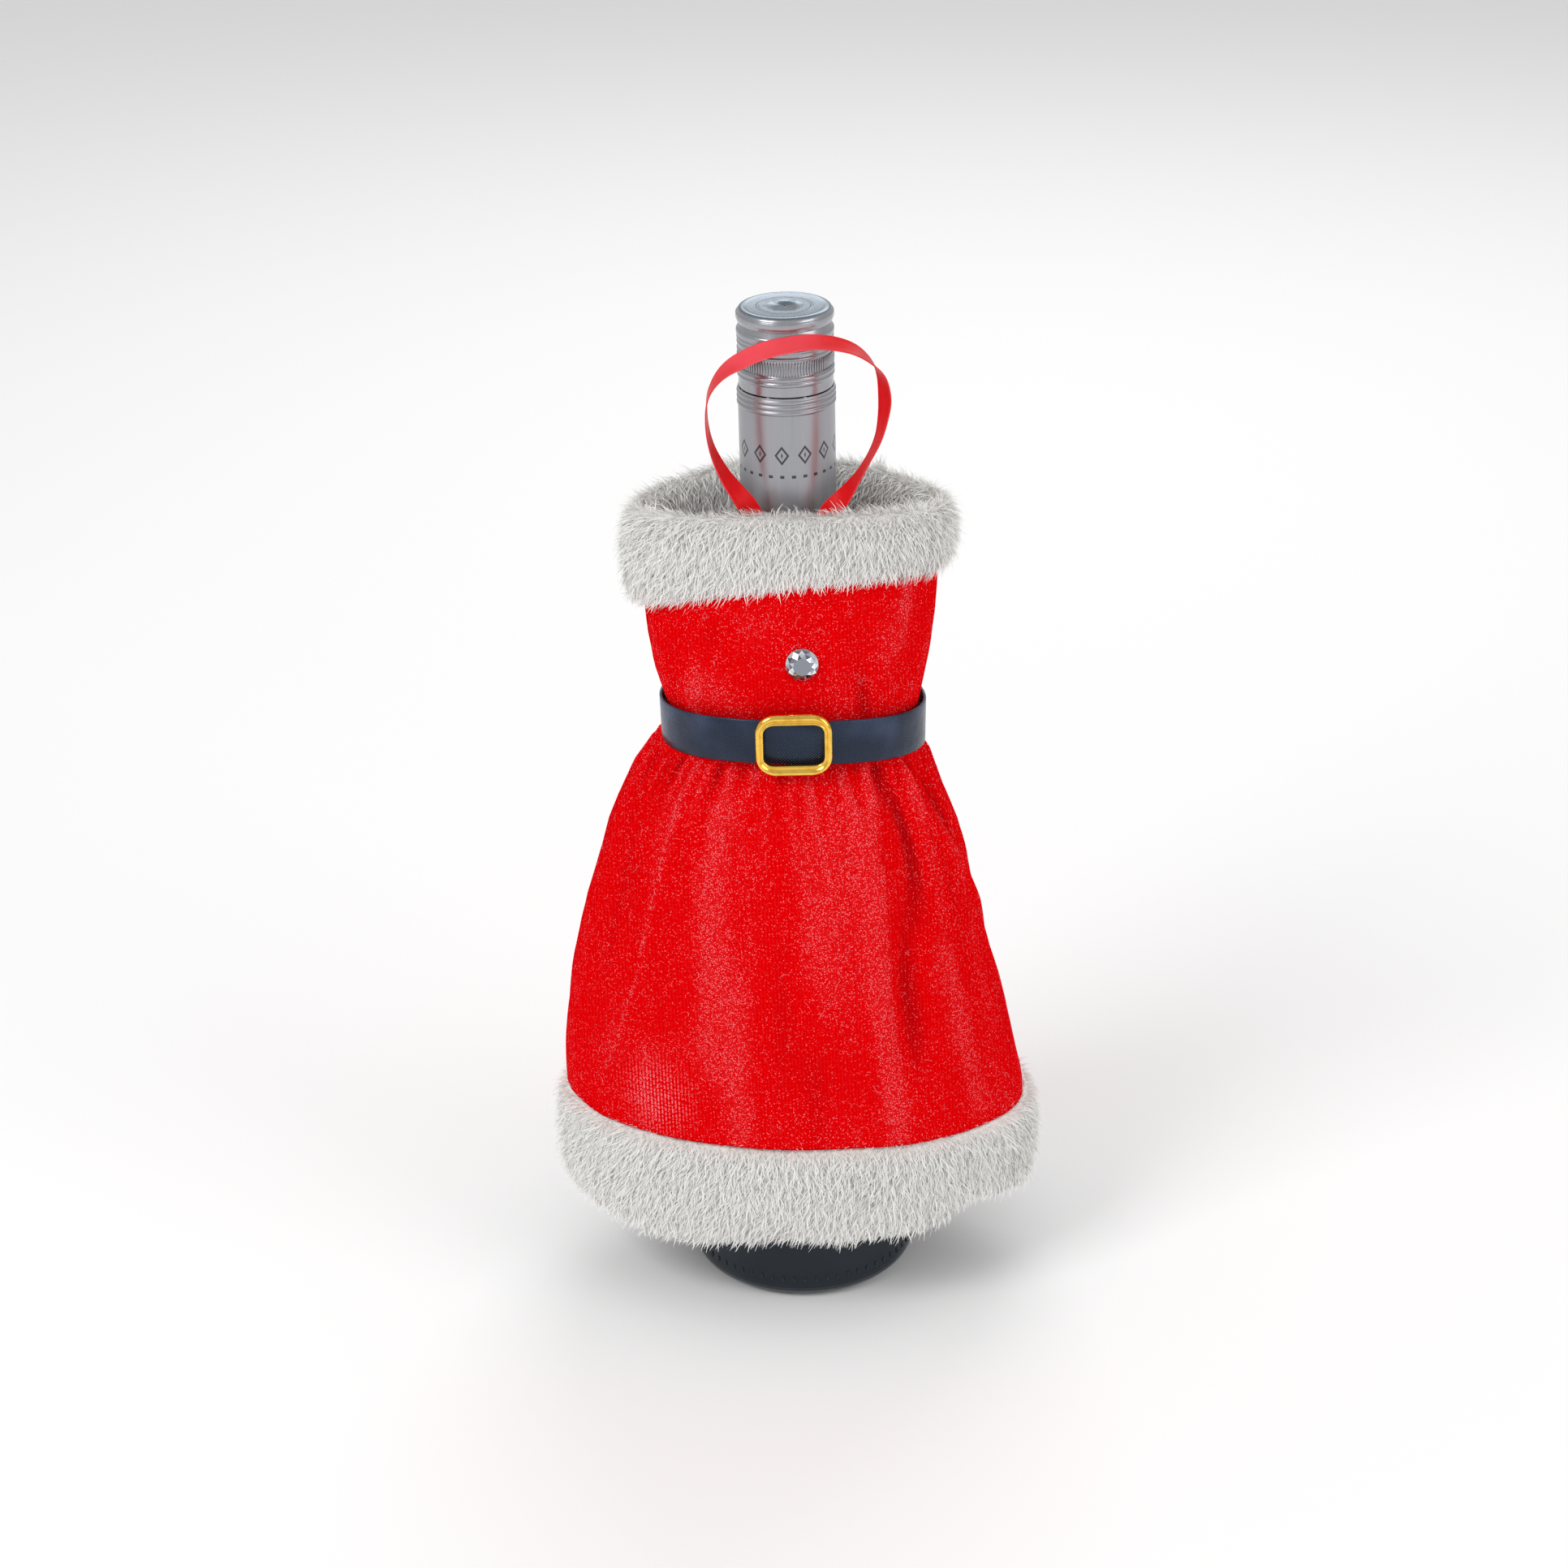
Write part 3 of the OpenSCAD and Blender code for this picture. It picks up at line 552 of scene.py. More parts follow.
def cloth_panel(name, start, stop, low, high, cols, rows, cloth_t, shape, brushed):
    """A closed sheet of cloth between two turns and two heights, with thickness inwards."""
    turns = np.linspace(start, stop, cols)
    heights = np.linspace(low, high, rows)
    outside = [dress_point(math.radians(t), z, shape(t, z)) for z in heights for t in turns]
    inside = [dress_point(math.radians(t), z, shape(t, z) - cloth_t) for z in heights for t in turns]
    n = cols * rows
    faces = grid_faces(rows, cols)
    faces += [tuple(n + v for v in reversed(f)) for f in faces]
    rim = ([c for c in range(cols)] + [r * cols + cols - 1 for r in range(1, rows)]
           + [(rows - 1) * cols + c for c in range(cols - 2, -1, -1)]
           + [r * cols for r in range(rows - 2, 0, -1)])
    faces += [(rim[(k + 1) % len(rim)], rim[k], n + rim[k], n + rim[(k + 1) % len(rim)])
              for k in range(len(rim))]
    points = [(px * MM, py * MM, pz * MM) for px, py, pz in outside + inside]
    piece = new_piece(name, points, faces, velvet.material)
    # Each point keeps the painted light and shade of the velvet in the brushed attribute.
    laid = [brushed(t, z) for z in heights for t in turns]
    piece.data.attributes.new("brushed", "FLOAT", "POINT").data.foreach_set("value", laid + [0.0] * n)
    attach(piece, "dress")
    return piece


def skirt_shape(turn_deg, z):
    drift = noise.noise(Vector((turn_deg * 0.05, z * 0.018, 9.0))) * 0.8
    fine = noise.noise(Vector((turn_deg * 0.35, z * 0.16, 3.0))) * 0.12
    ease = min(1, max(0, (waist_z - z) / 10))
    height = fold_height(turn_deg, z) + gather_height(turn_deg, z) + (drift + fine) * ease
    # The buckle presses the gathers flat where it slides over them
    pressed = min(1, max(0, (z - 178) / 4)) * math.exp(-(turn_deg / 27) ** 6)
    return height - pressed * max(0, height + 0.8)


def bodice_shape(turn_deg, z):
    """Soft pulls of the bodice: dents towards the belt and a swell over the bust."""
    share = (z - waist_z) / (collar_seam_z - waist_z)
    pull = noise.noise(Vector((turn_deg * 0.055, z * 0.035, 21.0))) * 0.9
    pull += noise.noise(Vector((turn_deg * 0.14, z * 0.05, 5.0))) * 0.35
    dent = -1.1 * math.exp(-((turn_deg - 33 + (z - 205) * 0.35) / 5) ** 2) * math.exp(-((z - 207) / 14) ** 2)
    crease = 0.8 * math.exp(-((turn_deg + 52 - (z - 205) * 0.25) / 4) ** 2) * math.exp(-((z - 208) / 16) ** 2)
    loose = min(1, max(0, (z - 203) / 12)) * min(1, max(0, (246 - z) / 8))
    return (pull + 0.5) * loose + dent + crease


# How light the velvet is painted, from -1 (darker) to 1 (lighter): random patches, painted highlight along the fold
# ridges and on streaks down from the gathers, painted shade in the valleys.
# Streaks run down from the gathers: turn at the top and at the foot, the heights, half width, strength.
streaks = [(-27, -22, 178, 92, 5.0, 0.75), (-20, -16, 120, 66, 5.0, 0.45), (3, 6, 186, 118, 5.0, 0.6),
           (21, 24, 172, 66, 3.6, 0.95), (33, 31, 190, 176, 3.5, 0.9), (46, 60, 130, 66, 9.0, 0.45),
           (-40, -48, 190, 160, 8.0, 0.4), (-36, -40, 100, 66, 8.0, 0.35), (130, 134, 185, 80, 6, 0.7),
           (168, 171, 185, 70, 6, 0.6), (205, 202, 185, 90, 6, 0.7), (245, 250, 180, 100, 6, 0.5)]


def skirt_patches_and_painted_light(turn_deg, z):
    laid = 0.55 * noise.noise(Vector((turn_deg * 0.11, z * 0.016, 7.0))) + 0.02
    for top_turn, foot_turn, top, foot, wide, strong in streaks:
        down = (top - z) / (top - foot)
        fade = min(1, max(0, (top + 6 - z) / 12)) * min(1, max(0, (z - foot + 14) / 20))
        laid += strong * fade * math.exp(-((turn_deg - top_turn - (foot_turn - top_turn) * down) / wide) ** 2)
    # Painted light and shade from the folds and gathers: lighter on ridges, darker in valleys.
    return laid + 0.22 * fold_height(turn_deg, z) + 0.42 * gather_height(turn_deg, z)


def bodice_patches_and_painted_light(turn_deg, z):
    # Random patches, a painted highlight on a band at turn 52 and beside the crease, and painted shade in the dent
    # above the belt.
    laid = 0.6 * noise.noise(Vector((turn_deg * 0.06, z * 0.05, 17.0))) + 0.1
    laid += 0.5 * math.exp(-((turn_deg - 52) / 8) ** 2) * min(1, max(0, (z - 212) / 10))
    laid += 0.6 * math.exp(-((turn_deg + 49 - (z - 205) * 0.25) / 4) ** 2) * math.exp(-((z - 208) / 12) ** 2)
    return (laid - 0.7 * math.exp(-((turn_deg - 33 + (z - 205) * 0.35) / 5) ** 2)
            * math.exp(-((z - 205) / 10) ** 2))


skirt_front = cloth_panel("skirt_front_cloth", -89.9, 89.9, 63.5, 195.2, 210, 132, 0.9, skirt_shape,
                          skirt_patches_and_painted_light)
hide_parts("skirt_front")
skirt_back = cloth_panel("skirt_back_cloth", 90.1, 269.9, 63.5, 195.2, 210, 132, 0.9, skirt_shape,
                         skirt_patches_and_painted_light)
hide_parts("skirt_back")
bodice_front = cloth_panel("bodice_front_cloth", -89.9, 89.9, 194.4, 243.5, 130, 60, 0.9, bodice_shape,
                           bodice_patches_and_painted_light)
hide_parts("bodice_front")
bodice_back = cloth_panel("bodice_back_cloth", 90.1, 269.9, 194.4, 243.5, 130, 60, 0.9, bodice_shape,
                          bodice_patches_and_painted_light)
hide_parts("bodice_back")


# ---- Inside of the dress: the doubled allowances of the side seams, and the bunched allowance of the
# gathers that sits on the bottle's shoulder. All are raw velvet, held by lock stitches.

def seam_strip(side, low, high):
    """A narrow doubled strip of velvet that stands in from a side seam."""
    rows = 48
    ring = []
    for r in range(rows):
        z = low + (high - low) * r / (rows - 1)
        turn = math.radians(90 * side)
        wall = dress_point(turn, z, -1.15)
        depth = 4.6 + 0.5 * noise.noise(Vector((0, z * 0.12, side * 3.0)))
        wave = 0.5 * noise.noise(Vector((4, z * 0.07, side * 5.0)))
        for inset, half in ((0, 0.75), (depth * 0.5, 0.8), (depth, 0.65), (depth + 0.25, 0), (depth, -0.65),
                            (depth * 0.5, -0.8), (0, -0.75)):
            ring.append((wall[0] - side * inset, wave * inset / depth + half, wall[2]))
    faces = grid_faces(rows, 7, closed_cols=True)
    if side > 0:
        faces = [tuple(reversed(f)) for f in faces]
    first, last = list(range(7)), [(rows - 1) * 7 + c for c in range(7)]
    faces += [first, last[::-1]] if side > 0 else [first[::-1], last]
    return [(px * MM, py * MM, pz * MM) for px, py, pz in ring], faces


def joined(name, parts, material):
    """Several closed shapes, each as points and faces, in one piece."""
    points, faces = [], []
    for more, its_faces in parts:
        faces += [tuple(v + len(points) for v in f) for f in its_faces]
        points += more
    return new_piece(name, points, faces, material)


skirt_seams = joined("skirt_seam_allowances",
                     [seam_strip(side, 68, 184) for side in (-1, 1)],
                     velvet.material)
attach(skirt_seams, "dress")
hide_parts("skirt_side_seams")
bodice_seams = joined("bodice_seam_allowances",
                      [seam_strip(side, 198.5, 238) for side in (-1, 1)],
                      velvet.material)
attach(bodice_seams, "dress")
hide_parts("bodice_side_seams")

ruffle = []
cols, rows = 260, 8
for r in range(rows):
    turn_round = 2 * math.pi * r / rows
    for c in range(cols):
        turn = 2 * math.pi * c / cols
        height = waist_z + 3.2 * math.sin(turn_round)
        depth = 1.15 + 0.75 * math.cos(turn_round)
        pleat = 0.42 * math.sin(c / cols * 2 * math.pi * 46 + 2 * noise.noise(Vector((c * 0.06, 0, 1))))
        ruffle.append(tuple(v * MM for v in dress_point(turn, height, -2.3 + depth * 0.75 + pleat
                                                        * (1 - math.cos(turn_round)) / 2)))
waist_ruffle = new_piece("waist_gather_band", ruffle, grid_faces(rows, cols, True, True), velvet.material)
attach(waist_ruffle, "dress")
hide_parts("waist_seam")

thread_finish = Finish("red_thread", Roughness=0.6, Sheen_Weight=0.3)
at = thread_finish.place()
thread_finish.feed("Base Color", thread_finish.mix(thread_finish.noise(at, 3000), (0.5, 0.004, 0.01, 1),
                                                   (0.8, 0.02, 0.03, 1)))
marks, outward, along = [], [], []
for side in (-1, 1):
    for k in range(44):
        z = 69 + k * 2.6
        wall = dress_point(math.radians(90 * side), z, -1.15)
        for face in (-1, 1):
            marks.append(((wall[0] - side * 3.4) * MM, face * 0.85 * MM, wall[2] * MM))
            outward.append((0, face, 0))
            along.append((side * 0.5, 0, 1 if k % 2 else -1))
overlock = bead_recipe("overlock", thread_finish.material, 6).run(
    "seam_overlock_stitches", marked_points(marks, outward, along), thread_finish.material,
    Width=2.8 * MM, Height=0.35 * MM, Depth=0.3 * MM)
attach(overlock, "dress")


# ---- Collar and hem: white plush on a knitted backing, folded over a soft core, with a dense pile about
# 4 mm long combed downwards. The bands are sewn to the velvet under the pile.

plush = Finish("white_plush", Roughness=0.9, Sheen_Weight=0.15, Sheen_Roughness=0.5,
               Specular_IOR_Level=0.1)
shade = plush.node("ShaderNodeAttribute", {"attribute_name": "shade"}, out=2)
tip = plush.node("ShaderNodeAttribute", {"attribute_name": "tip"}, out=2)
clump = plush.noise(plush.place(), 130, 2)
# Painted shade in the pile: each blade is darker towards its root, and the base under the pile, without a tip value, is
# darkest.
tone = plush.mix(plush.smooth(tip, 0.0, 0.5), (0.87, 0.86, 0.84, 1), (0.925, 0.92, 0.90, 1))
tone = plush.mix(1, tone, plush.mix(clump * 0.6 + shade * 0.4, (0.965, 0.965, 0.96, 1), (1, 1, 1, 1)),
                 "MULTIPLY")
plush.feed("Base Color", tone)

pile_recipe = Recipe("plush_pile", Density=1.0, Length=0.001, Width=0.001, Seed=1)
blade = pile_recipe.node("GeometryNodeMeshGrid", None,
                         {"Size X": 1.0, "Size Y": 1.0, "Vertices X": 2, "Vertices Y": 3})
bx, by, _ = pile_recipe.split(pile_recipe.node("GeometryNodeInputPosition"))
along_blade = by + 0.5
narrow = 1 - pile_recipe.math("POWER", along_blade, 1.6) * 0.86
bend = pile_recipe.node("ShaderNodeCombineXYZ", None, {
    "X": bx * narrow * pile_recipe.given("Width"),
    "Y": pile_recipe.math("POWER", along_blade, 1.55) * 0.72 * pile_recipe.given("Length"),
    "Z": (along_blade * 0.95 - along_blade * along_blade * 0.32) * pile_recipe.given("Length")})
bent = pile_recipe.node("GeometryNodeSetPosition", None, {"Geometry": blade, "Position": bend})
bent = pile_recipe.node("GeometryNodeStoreNamedAttribute", {"data_type": "FLOAT", "domain": "POINT"},
                        {"Geometry": bent, "Name": "tip", "Value": along_blade})
furry = pile_recipe.node("GeometryNodeInputNamedAttribute", {"data_type": "FLOAT"}, {"Name": "pile"})
scattered = pile_recipe.node("GeometryNodeDistributePointsOnFaces", {"distribute_method": "RANDOM"},
                             {"Mesh": pile_recipe.given("Geometry"),
                              "Density": furry * pile_recipe.given("Density"),
                              "Seed": pile_recipe.given("Seed")})
normal = Wire(pile_recipe, scattered.out.node.outputs["Normal"])
comb = pile_recipe.node("GeometryNodeInputNamedAttribute", {"data_type": "FLOAT_VECTOR"}, {"Name": "comb"})
stand = pile_recipe.node("FunctionNodeAxesToRotation", {"primary_axis": "Z", "secondary_axis": "Y"},
                         {"Primary Axis": normal, "Secondary Axis": comb})


def random_number(recipe, low, high, seed):
    return recipe.node("FunctionNodeRandomValue", {"data_type": "FLOAT"},
                       {2: low, 3: high, "Seed": seed}, out=1)


twist = pile_recipe.node("FunctionNodeEulerToRotation", None, {"Euler": pile_recipe.node(
    "ShaderNodeCombineXYZ", None, {"X": random_number(pile_recipe, -0.3, 0.28, 3),
                                   "Y": random_number(pile_recipe, -0.2, 0.2, 4),
                                   "Z": random_number(pile_recipe, -0.75, 0.75, 5)})})
blades = pile_recipe.node("GeometryNodeInstanceOnPoints", None,
                          {"Points": scattered, "Instance": bent,
                           "Rotation": pile_recipe.rotated(stand, twist),
                           "Scale": 0.72 + pile_recipe.math(
                               "POWER", random_number(pile_recipe, 0, 1, 6), 4) * 0.85})
blades = pile_recipe.node("GeometryNodeStoreNamedAttribute", {"data_type": "FLOAT", "domain": "INSTANCE"},
                          {"Geometry": blades, "Name": "shade", "Value": random_number(pile_recipe, 0, 1, 7)})
pile_recipe.end(pile_recipe.node("GeometryNodeJoinGeometry", None,
                                 {"Geometry": [blades, pile_recipe.given("Geometry")]}), plush.material)


def plush_band(name, start, stop, cols, section, place, density, seed, length, width):
    """A padded band with pile. Each section point is (share round the band, pile), placed by a function."""
    turns = np.linspace(start, stop, cols)
    ring = len(section)
    points = [place(t, *s[:2]) for t in turns for s in section]
    faces = [tuple(reversed(f)) for f in grid_faces(cols, ring, closed_cols=True)]
    faces += [list(range(ring)), [(cols - 1) * ring + k for k in range(ring - 1, -1, -1)]]
    base = new_piece(name + "_base", [(px * MM, py * MM, pz * MM) for px, py, pz in points], faces,
                     plush.material)
    base.data.attributes.new("pile", "FLOAT", "POINT").data.foreach_set(
        "value", [s[2] for t in turns for s in section])
    combs = []
    for k, v in enumerate(base.data.vertices):
        n = base.data.vertex_normals[k].vector
        swirl = noise.noise_vector(v.co * 60) * 0.5 + noise.noise_vector(v.co * 240) * 0.3
        down = Vector((-0.28, 0, -1)) + Vector((n.x, n.y, 0)) * 0.6 + swirl
        flat = down - n * down.dot(n)
        combs += list(flat.normalized() if flat.length > 1e-4 else Vector((1, 0, 0)))
    base.data.attributes.new("comb", "FLOAT_VECTOR", "POINT").data.foreach_set("vector", combs)
    piece = pile_recipe.run(name, base, plush.material, Density=density, Length=length * MM,
                            Width=width * MM, Seed=seed)
    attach(piece, "dress")
    return piece


collar_low = 243.6


def collar_place(turn_deg, out, up):
    """A point of the collar's core: out is from the mouth's wall, up is from its lower edge to its fold."""
    turn = math.radians(turn_deg)
    lump = noise.noise(Vector((turn_deg * 0.045, up * 1.2, 31.0))) * 0.8
    rise, lean = 5.6 * (1 - up) * math.cos(turn) ** 2, 4.5 * (1 - up)
    a = 43.2 + out * 7.0 / 6.5 + lump * (out > 2)
    b = 18.7 + out + lump * (out > 2)
    top = (266.9 + (3.8 if math.cos(turn) > 0 else 6.0) * math.cos(turn) ** 2
           + 0.8 * noise.noise(Vector((turn_deg * 0.05, 3, 7.0))))
    z = collar_low + rise + (top - collar_low - rise) * up + lean * math.sin(turn)
    return a * math.sin(turn), -b * math.cos(turn), z


collar_section = [(4.3, 0.0, 0.9), (5.6, 0.14, 1), (6.4, 0.32, 1), (6.7, 0.5, 1), (6.6, 0.68, 1), (5.9, 0.84, 1),
                  (4.6, 0.95, 1), (3.0, 1.0, 1), (1.5, 0.96, 1), (0.7, 0.86, 0.9), (0.4, 0.7, 0.8),
                  (0.3, 0.5, 0.6), (0.3, 0.2, 0.25), (0.6, 0.02, 0.1), (2.2, -0.03, 0.5)]
collar_front = plush_band("collar_front_plush", -89.8, 89.8, 110, collar_section, collar_place,
                          6.4e6, 11, 4.0, 0.32)
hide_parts("collar_front")
collar_back = plush_band("collar_back_plush", 90.2, 269.8, 110, collar_section, collar_place,
                         6.4e6, 12, 4.0, 0.32)
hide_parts("collar_back")


def hem_place(turn_deg, out, up):
    """A point of the hem's core: out is from the skirt's inside, up is from the lower edge to the seam."""
    turn = math.radians(turn_deg)
    lump = noise.noise(Vector((turn_deg * 0.04, up, 57.0))) * 1.0
    dent = math.exp(-((turn_deg - 50) / 14) ** 2)
    lift = 3.6 * math.exp(-((turn_deg - 82) / 30) ** 2) - 3.6 * math.exp(-((turn_deg + 33) / 22) ** 2)
    a = (76.6 * (1 - math.sin(turn)) + 74.6 * (1 + math.sin(turn))) / 2 + out - 1.6 + lump * 0.6
    b = 48.6 + out - 1.6 + lump * 0.6
    shrink = 1 - 0.045 * dent * (1 - up)
    low = 30.9 + 2.5 * math.cos(turn) ** 2 - 3 * math.sin(turn) + 5.2 * dent + lift + 1.2 * noise.noise(
        Vector((turn_deg * 0.06, 9, 2.0)))
    high = 63.6 + 2.5 * math.cos(turn) ** 2 - 3 * math.sin(turn)
    return a * shrink * math.sin(turn), -b * shrink * math.cos(turn), low + (high - low) * up


hem_section = [(2.4, 0.0, 1), (3.2, 0.12, 1), (3.7, 0.3, 1), (3.8, 0.5, 1), (3.7, 0.7, 1), (3.2, 0.88, 1),
               (2.3, 0.95, 0.5), (1.0, 0.98, 0.1), (-0.6, 0.97, 0), (-1.0, 0.8, 0), (-1.1, 0.5, 0.15),
               (-1.0, 0.2, 0.5), (-0.4, 0.04, 1), (1.0, -0.02, 1)]
hem_front = plush_band("hem_front_plush", -89.8, 89.8, 190, hem_section, hem_place, 4.4e6, 21, 4.1, 0.36)
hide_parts("hem_front")
hem_back = plush_band("hem_back_plush", 90.2, 269.8, 190, hem_section, hem_place, 4.4e6, 22, 4.1, 0.36)
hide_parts("hem_back")


# ---- Belt: a 15 mm strap of black embossed leathercloth round the waist, glued over itself at the back
# and tied to the side seams with thread bars.

strap_finish = Finish("embossed_strap", Roughness=0.36, Specular_IOR_Level=0.5,
                      Specular_Tint=(0.5, 0.68, 1.0, 1))
uv = strap_finish.node("ShaderNodeUVMap", {"uv_map": "strap"})
u, v, _ = strap_finish.split(uv)
at = strap_finish.place()
dot_u = strap_finish.math("SINE", u * (2 * math.pi / (0.9 * MM)))
dot_v = strap_finish.math("SINE", v * (2 * math.pi / (0.9 * MM)))
dots = strap_finish.smooth(dot_u * dot_v, 0.25, 0.9)
worn = strap_finish.noise(at, 60, 3)
# Painted sheen: broad lighter blue patches, faint near the buckle and full towards the ends, stand in for glossy
# reflections on the black strap.
ends = strap_finish.smooth(strap_finish.math("ABSOLUTE", u), 10 * MM, 34 * MM)
band = strap_finish.smooth(strap_finish.noise(at, 42, 2) + v * 12, 0.42, 0.66)
body = strap_finish.mix(band * (0.35 + ends * 0.65), (0.003, 0.005, 0.012, 1), (0.042, 0.055, 0.105, 1))
strap_finish.feed("Base Color", strap_finish.mix(dots * 0.7, body, (0.075, 0.095, 0.150, 1)))
strap_finish.feed("Roughness", 0.2 + worn * 0.14 - dots * 0.06)
strap_finish.bump(dots + strap_finish.noise(at, 1200, 2) * 0.4 + strap_finish.noise(at, 90, 2) * 4,
                  0.00016, 0.8)

strap_a, strap_b, strap_mid, strap_half = 41.8, 30.3, 195.7, 7.35


def strap_band(name, start, stop, cols, out, half, thick):
    """A flat strap round the waist between two turns in degrees."""
    ring = [(out, -half + 0.35), (out + 0.0, 0 - half * 0.5), (out, 0), (out, half * 0.5), (out, half - 0.35),
            (out - 0.15, half - 0.08), (out - thick * 0.5, half), (out - thick + 0.15, half - 0.08),
            (out - thick, half - 0.35), (out - thick, 0), (out - thick, -half + 0.35),
            (out - thick + 0.15, -half + 0.08), (out - thick * 0.5, -half), (out - 0.15, -half + 0.08)]
    points, uvs = [], []
    turns = np.linspace(start, stop, cols)
    for t in turns:
        turn = math.radians(t)
        a, b = strap_a, strap_b
        nx, ny = math.sin(turn) / a, -math.cos(turn) / b
        length = math.hypot(nx, ny)
        base_z = strap_mid + 4 * math.cos(turn) ** 2 - 1.5 * math.sin(turn)
        base_z += 0.25 * noise.noise(Vector((t * 0.04, 2, 8.0)))
        for o, up in ring:
            lean = 0.02 * up * abs(math.sin(turn))
            points.append(((a * math.sin(turn) + (o + lean) * nx / length) * MM,
                           (-b * math.cos(turn) + (o + lean) * ny / length) * MM, (base_z + up) * MM))
            uvs.append((t * math.pi / 180 * 36 * MM, up * MM))
    faces = grid_faces(cols, len(ring), closed_cols=True)
    faces = [tuple(reversed(f)) for f in faces]
    faces += [list(range(len(ring))), [(cols - 1) * len(ring) + k for k in range(len(ring) - 1, -1, -1)]]
    piece = new_piece(name, points, faces, strap_finish.material)
    layer = piece.data.uv_layers.new(name="strap")
    for loop in piece.data.loops:
        layer.data[loop.index].uv = uvs[loop.vertex_index]
    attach(piece, "dress")
    return piece


strap = strap_band("belt_strap_body", -179.8, 179.8, 260, 0.0, strap_half, 0.95)
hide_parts("belt_strap")
lap = strap_band("belt_lap_patch", 172.5, 187.5, 20, 1.05, strap_half + 0.1, 0.95)
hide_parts("belt_lap")

dark_thread = Finish("black_thread", Roughness=0.6)
at = dark_thread.place()
dark_thread.feed("Base Color", dark_thread.mix(dark_thread.noise(at, 3000), (0.012, 0.013, 0.02, 1),
                                               (0.04, 0.042, 0.06, 1)))
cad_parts["belt_tacks"].data.materials[0] = dark_thread.material


# ---- Buckle: a die-cast frame with a bright gold plate, a broad rounded outer band, a groove and a fine
# inner bead. A bar across its back holds it on the strap.

gold = Finish("gold_plate", Metallic=1.0, Roughness=0.14)
at = gold.place()
pits = gold.noise(at, 500, 3)
gold.feed("Base Color", gold.mix(gold.smooth(pits, 0.4, 0.75), (0.92, 0.60, 0.11, 1), (0.80, 0.46, 0.06, 1)))
gold.bump(gold.noise(at, 320, 2), 0.0002, 0.22)

low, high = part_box("buckle")
buckle_x, buckle_z = 0.0, (low[2] + high[2]) / 2 / MM
face_y = low[1] / MM
frame_half_w, frame_half_h, corner = 11.9, 10.4, 6.4
side_w, rail_w = 2.6, 3.7
section = [(0.0, 0.0), (0.02, 0.5), (0.08, 0.95), (0.2, 1.35), (0.34, 1.5), (0.48, 1.38), (0.58, 1.08),
           (0.64, 0.86), (0.7, 0.82), (0.76, 0.98), (0.84, 1.1), (0.92, 1.0), (0.98, 0.6), (1.0, 0.0),
           (0.98, -0.6), (0.8, -0.88), (0.2, -0.88), (0.02, -0.5)]
outline = []
for k in range(4):
    middle = ((1, 1), (-1, 1), (-1, -1), (1, -1))[k]
    for a in np.linspace(k * 90, k * 90 + 90, 13):
        outline.append((middle[0] * (frame_half_w - corner) + corner * math.cos(math.radians(a)),
                        middle[1] * (frame_half_h - corner) + corner * math.sin(math.radians(a)), a))
points = []
for px, pz, a in outline:
    nx, nz = math.cos(math.radians(a)), math.sin(math.radians(a))
    wide = side_w * nx * nx + rail_w * nz * nz
    for across, proud in section:
        points.append(((buckle_x + px - nx * wide * across) * MM, (face_y + 1.45 - proud) * MM,
                       (buckle_z + pz - nz * wide * across) * MM))
buckle_frame = (points, grid_faces(len(outline), len(section), True, True))


def rounded_bar(low, high, edge):
    """A bar with softened edges, as points and faces."""
    (x0, y0, z0), (x1, y1, z1) = low, high
    loop = [(x0 + edge, z0), (x1 - edge, z0), (x1, z0 + edge), (x1, z1 - edge), (x1 - edge, z1), (x0 + edge, z1),
            (x0, z1 - edge), (x0, z0 + edge)]
    points = [((px + (edge if inset and px < (x0 + x1) / 2 else -edge if inset else 0)) * MM, py * MM,
               (pz + (edge if inset and pz < (z0 + z1) / 2 else -edge if inset else 0)) * MM)
              for py, inset in ((y0, 1), (y0 + edge, 0), (y1 - edge, 0), (y1, 1)) for px, pz in loop]
    faces = grid_faces(4, 8, closed_cols=True)
    faces += [list(range(7, -1, -1)), [24 + k for k in range(8)]]
    return points, faces


bar_back = high[1] / MM
bars = [rounded_bar((-1.6, bar_back - 1.55, buckle_z - 8.9), (1.6, bar_back, buckle_z + 8.9), 0.3)]
for way in (-1, 1):
    bars.append(rounded_bar((-1.6, face_y + 1.6, buckle_z + way * 8.95 - 0.85),
                            (1.6, bar_back, buckle_z + way * 8.95 + 0.85), 0.3))
buckle = joined("buckle_frame", [buckle_frame] + bars, gold.material)
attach(buckle, "buckle")
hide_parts("buckle")


# ---- Gem: a round cut stone of clear glass on silver foil, fixed to the bodice with a dot of glue.

stone = Finish("cut_stone", Metallic=0.9, Roughness=0.05, Coat_Weight=1.0, Coat_Roughness=0.02)
# Painted reflections: each facet is painted its own grey, from near black to white.
facet = stone.node("ShaderNodeAttribute", {"attribute_name": "facet"}, out=2)
stone.feed("Base Color", stone.node("ShaderNodeValToRGB", {"stops": [
    (0.0, (0.10, 0.11, 0.14, 1)), (0.4, (0.34, 0.36, 0.42, 1)), (0.7, (0.62, 0.65, 0.72, 1)),
    (1.0, (0.95, 0.96, 1.0, 1))]}, {"Fac": facet}))
foil = Finish("silver_foil", Metallic=1.0, Roughness=0.25)
at = foil.place()
foil.feed("Base Color", foil.mix(foil.noise(at, 900), (0.6, 0.61, 0.65, 1), (0.8, 0.81, 0.84, 1)))
glue = Finish("clear_glue", Roughness=0.2)
at = glue.place()
glue.feed("Base Color", glue.mix(glue.noise(at, 300), (0.75, 0.72, 0.66, 1), (0.85, 0.83, 0.78, 1)))
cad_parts["gem_foil"].data.materials[0] = foil.material
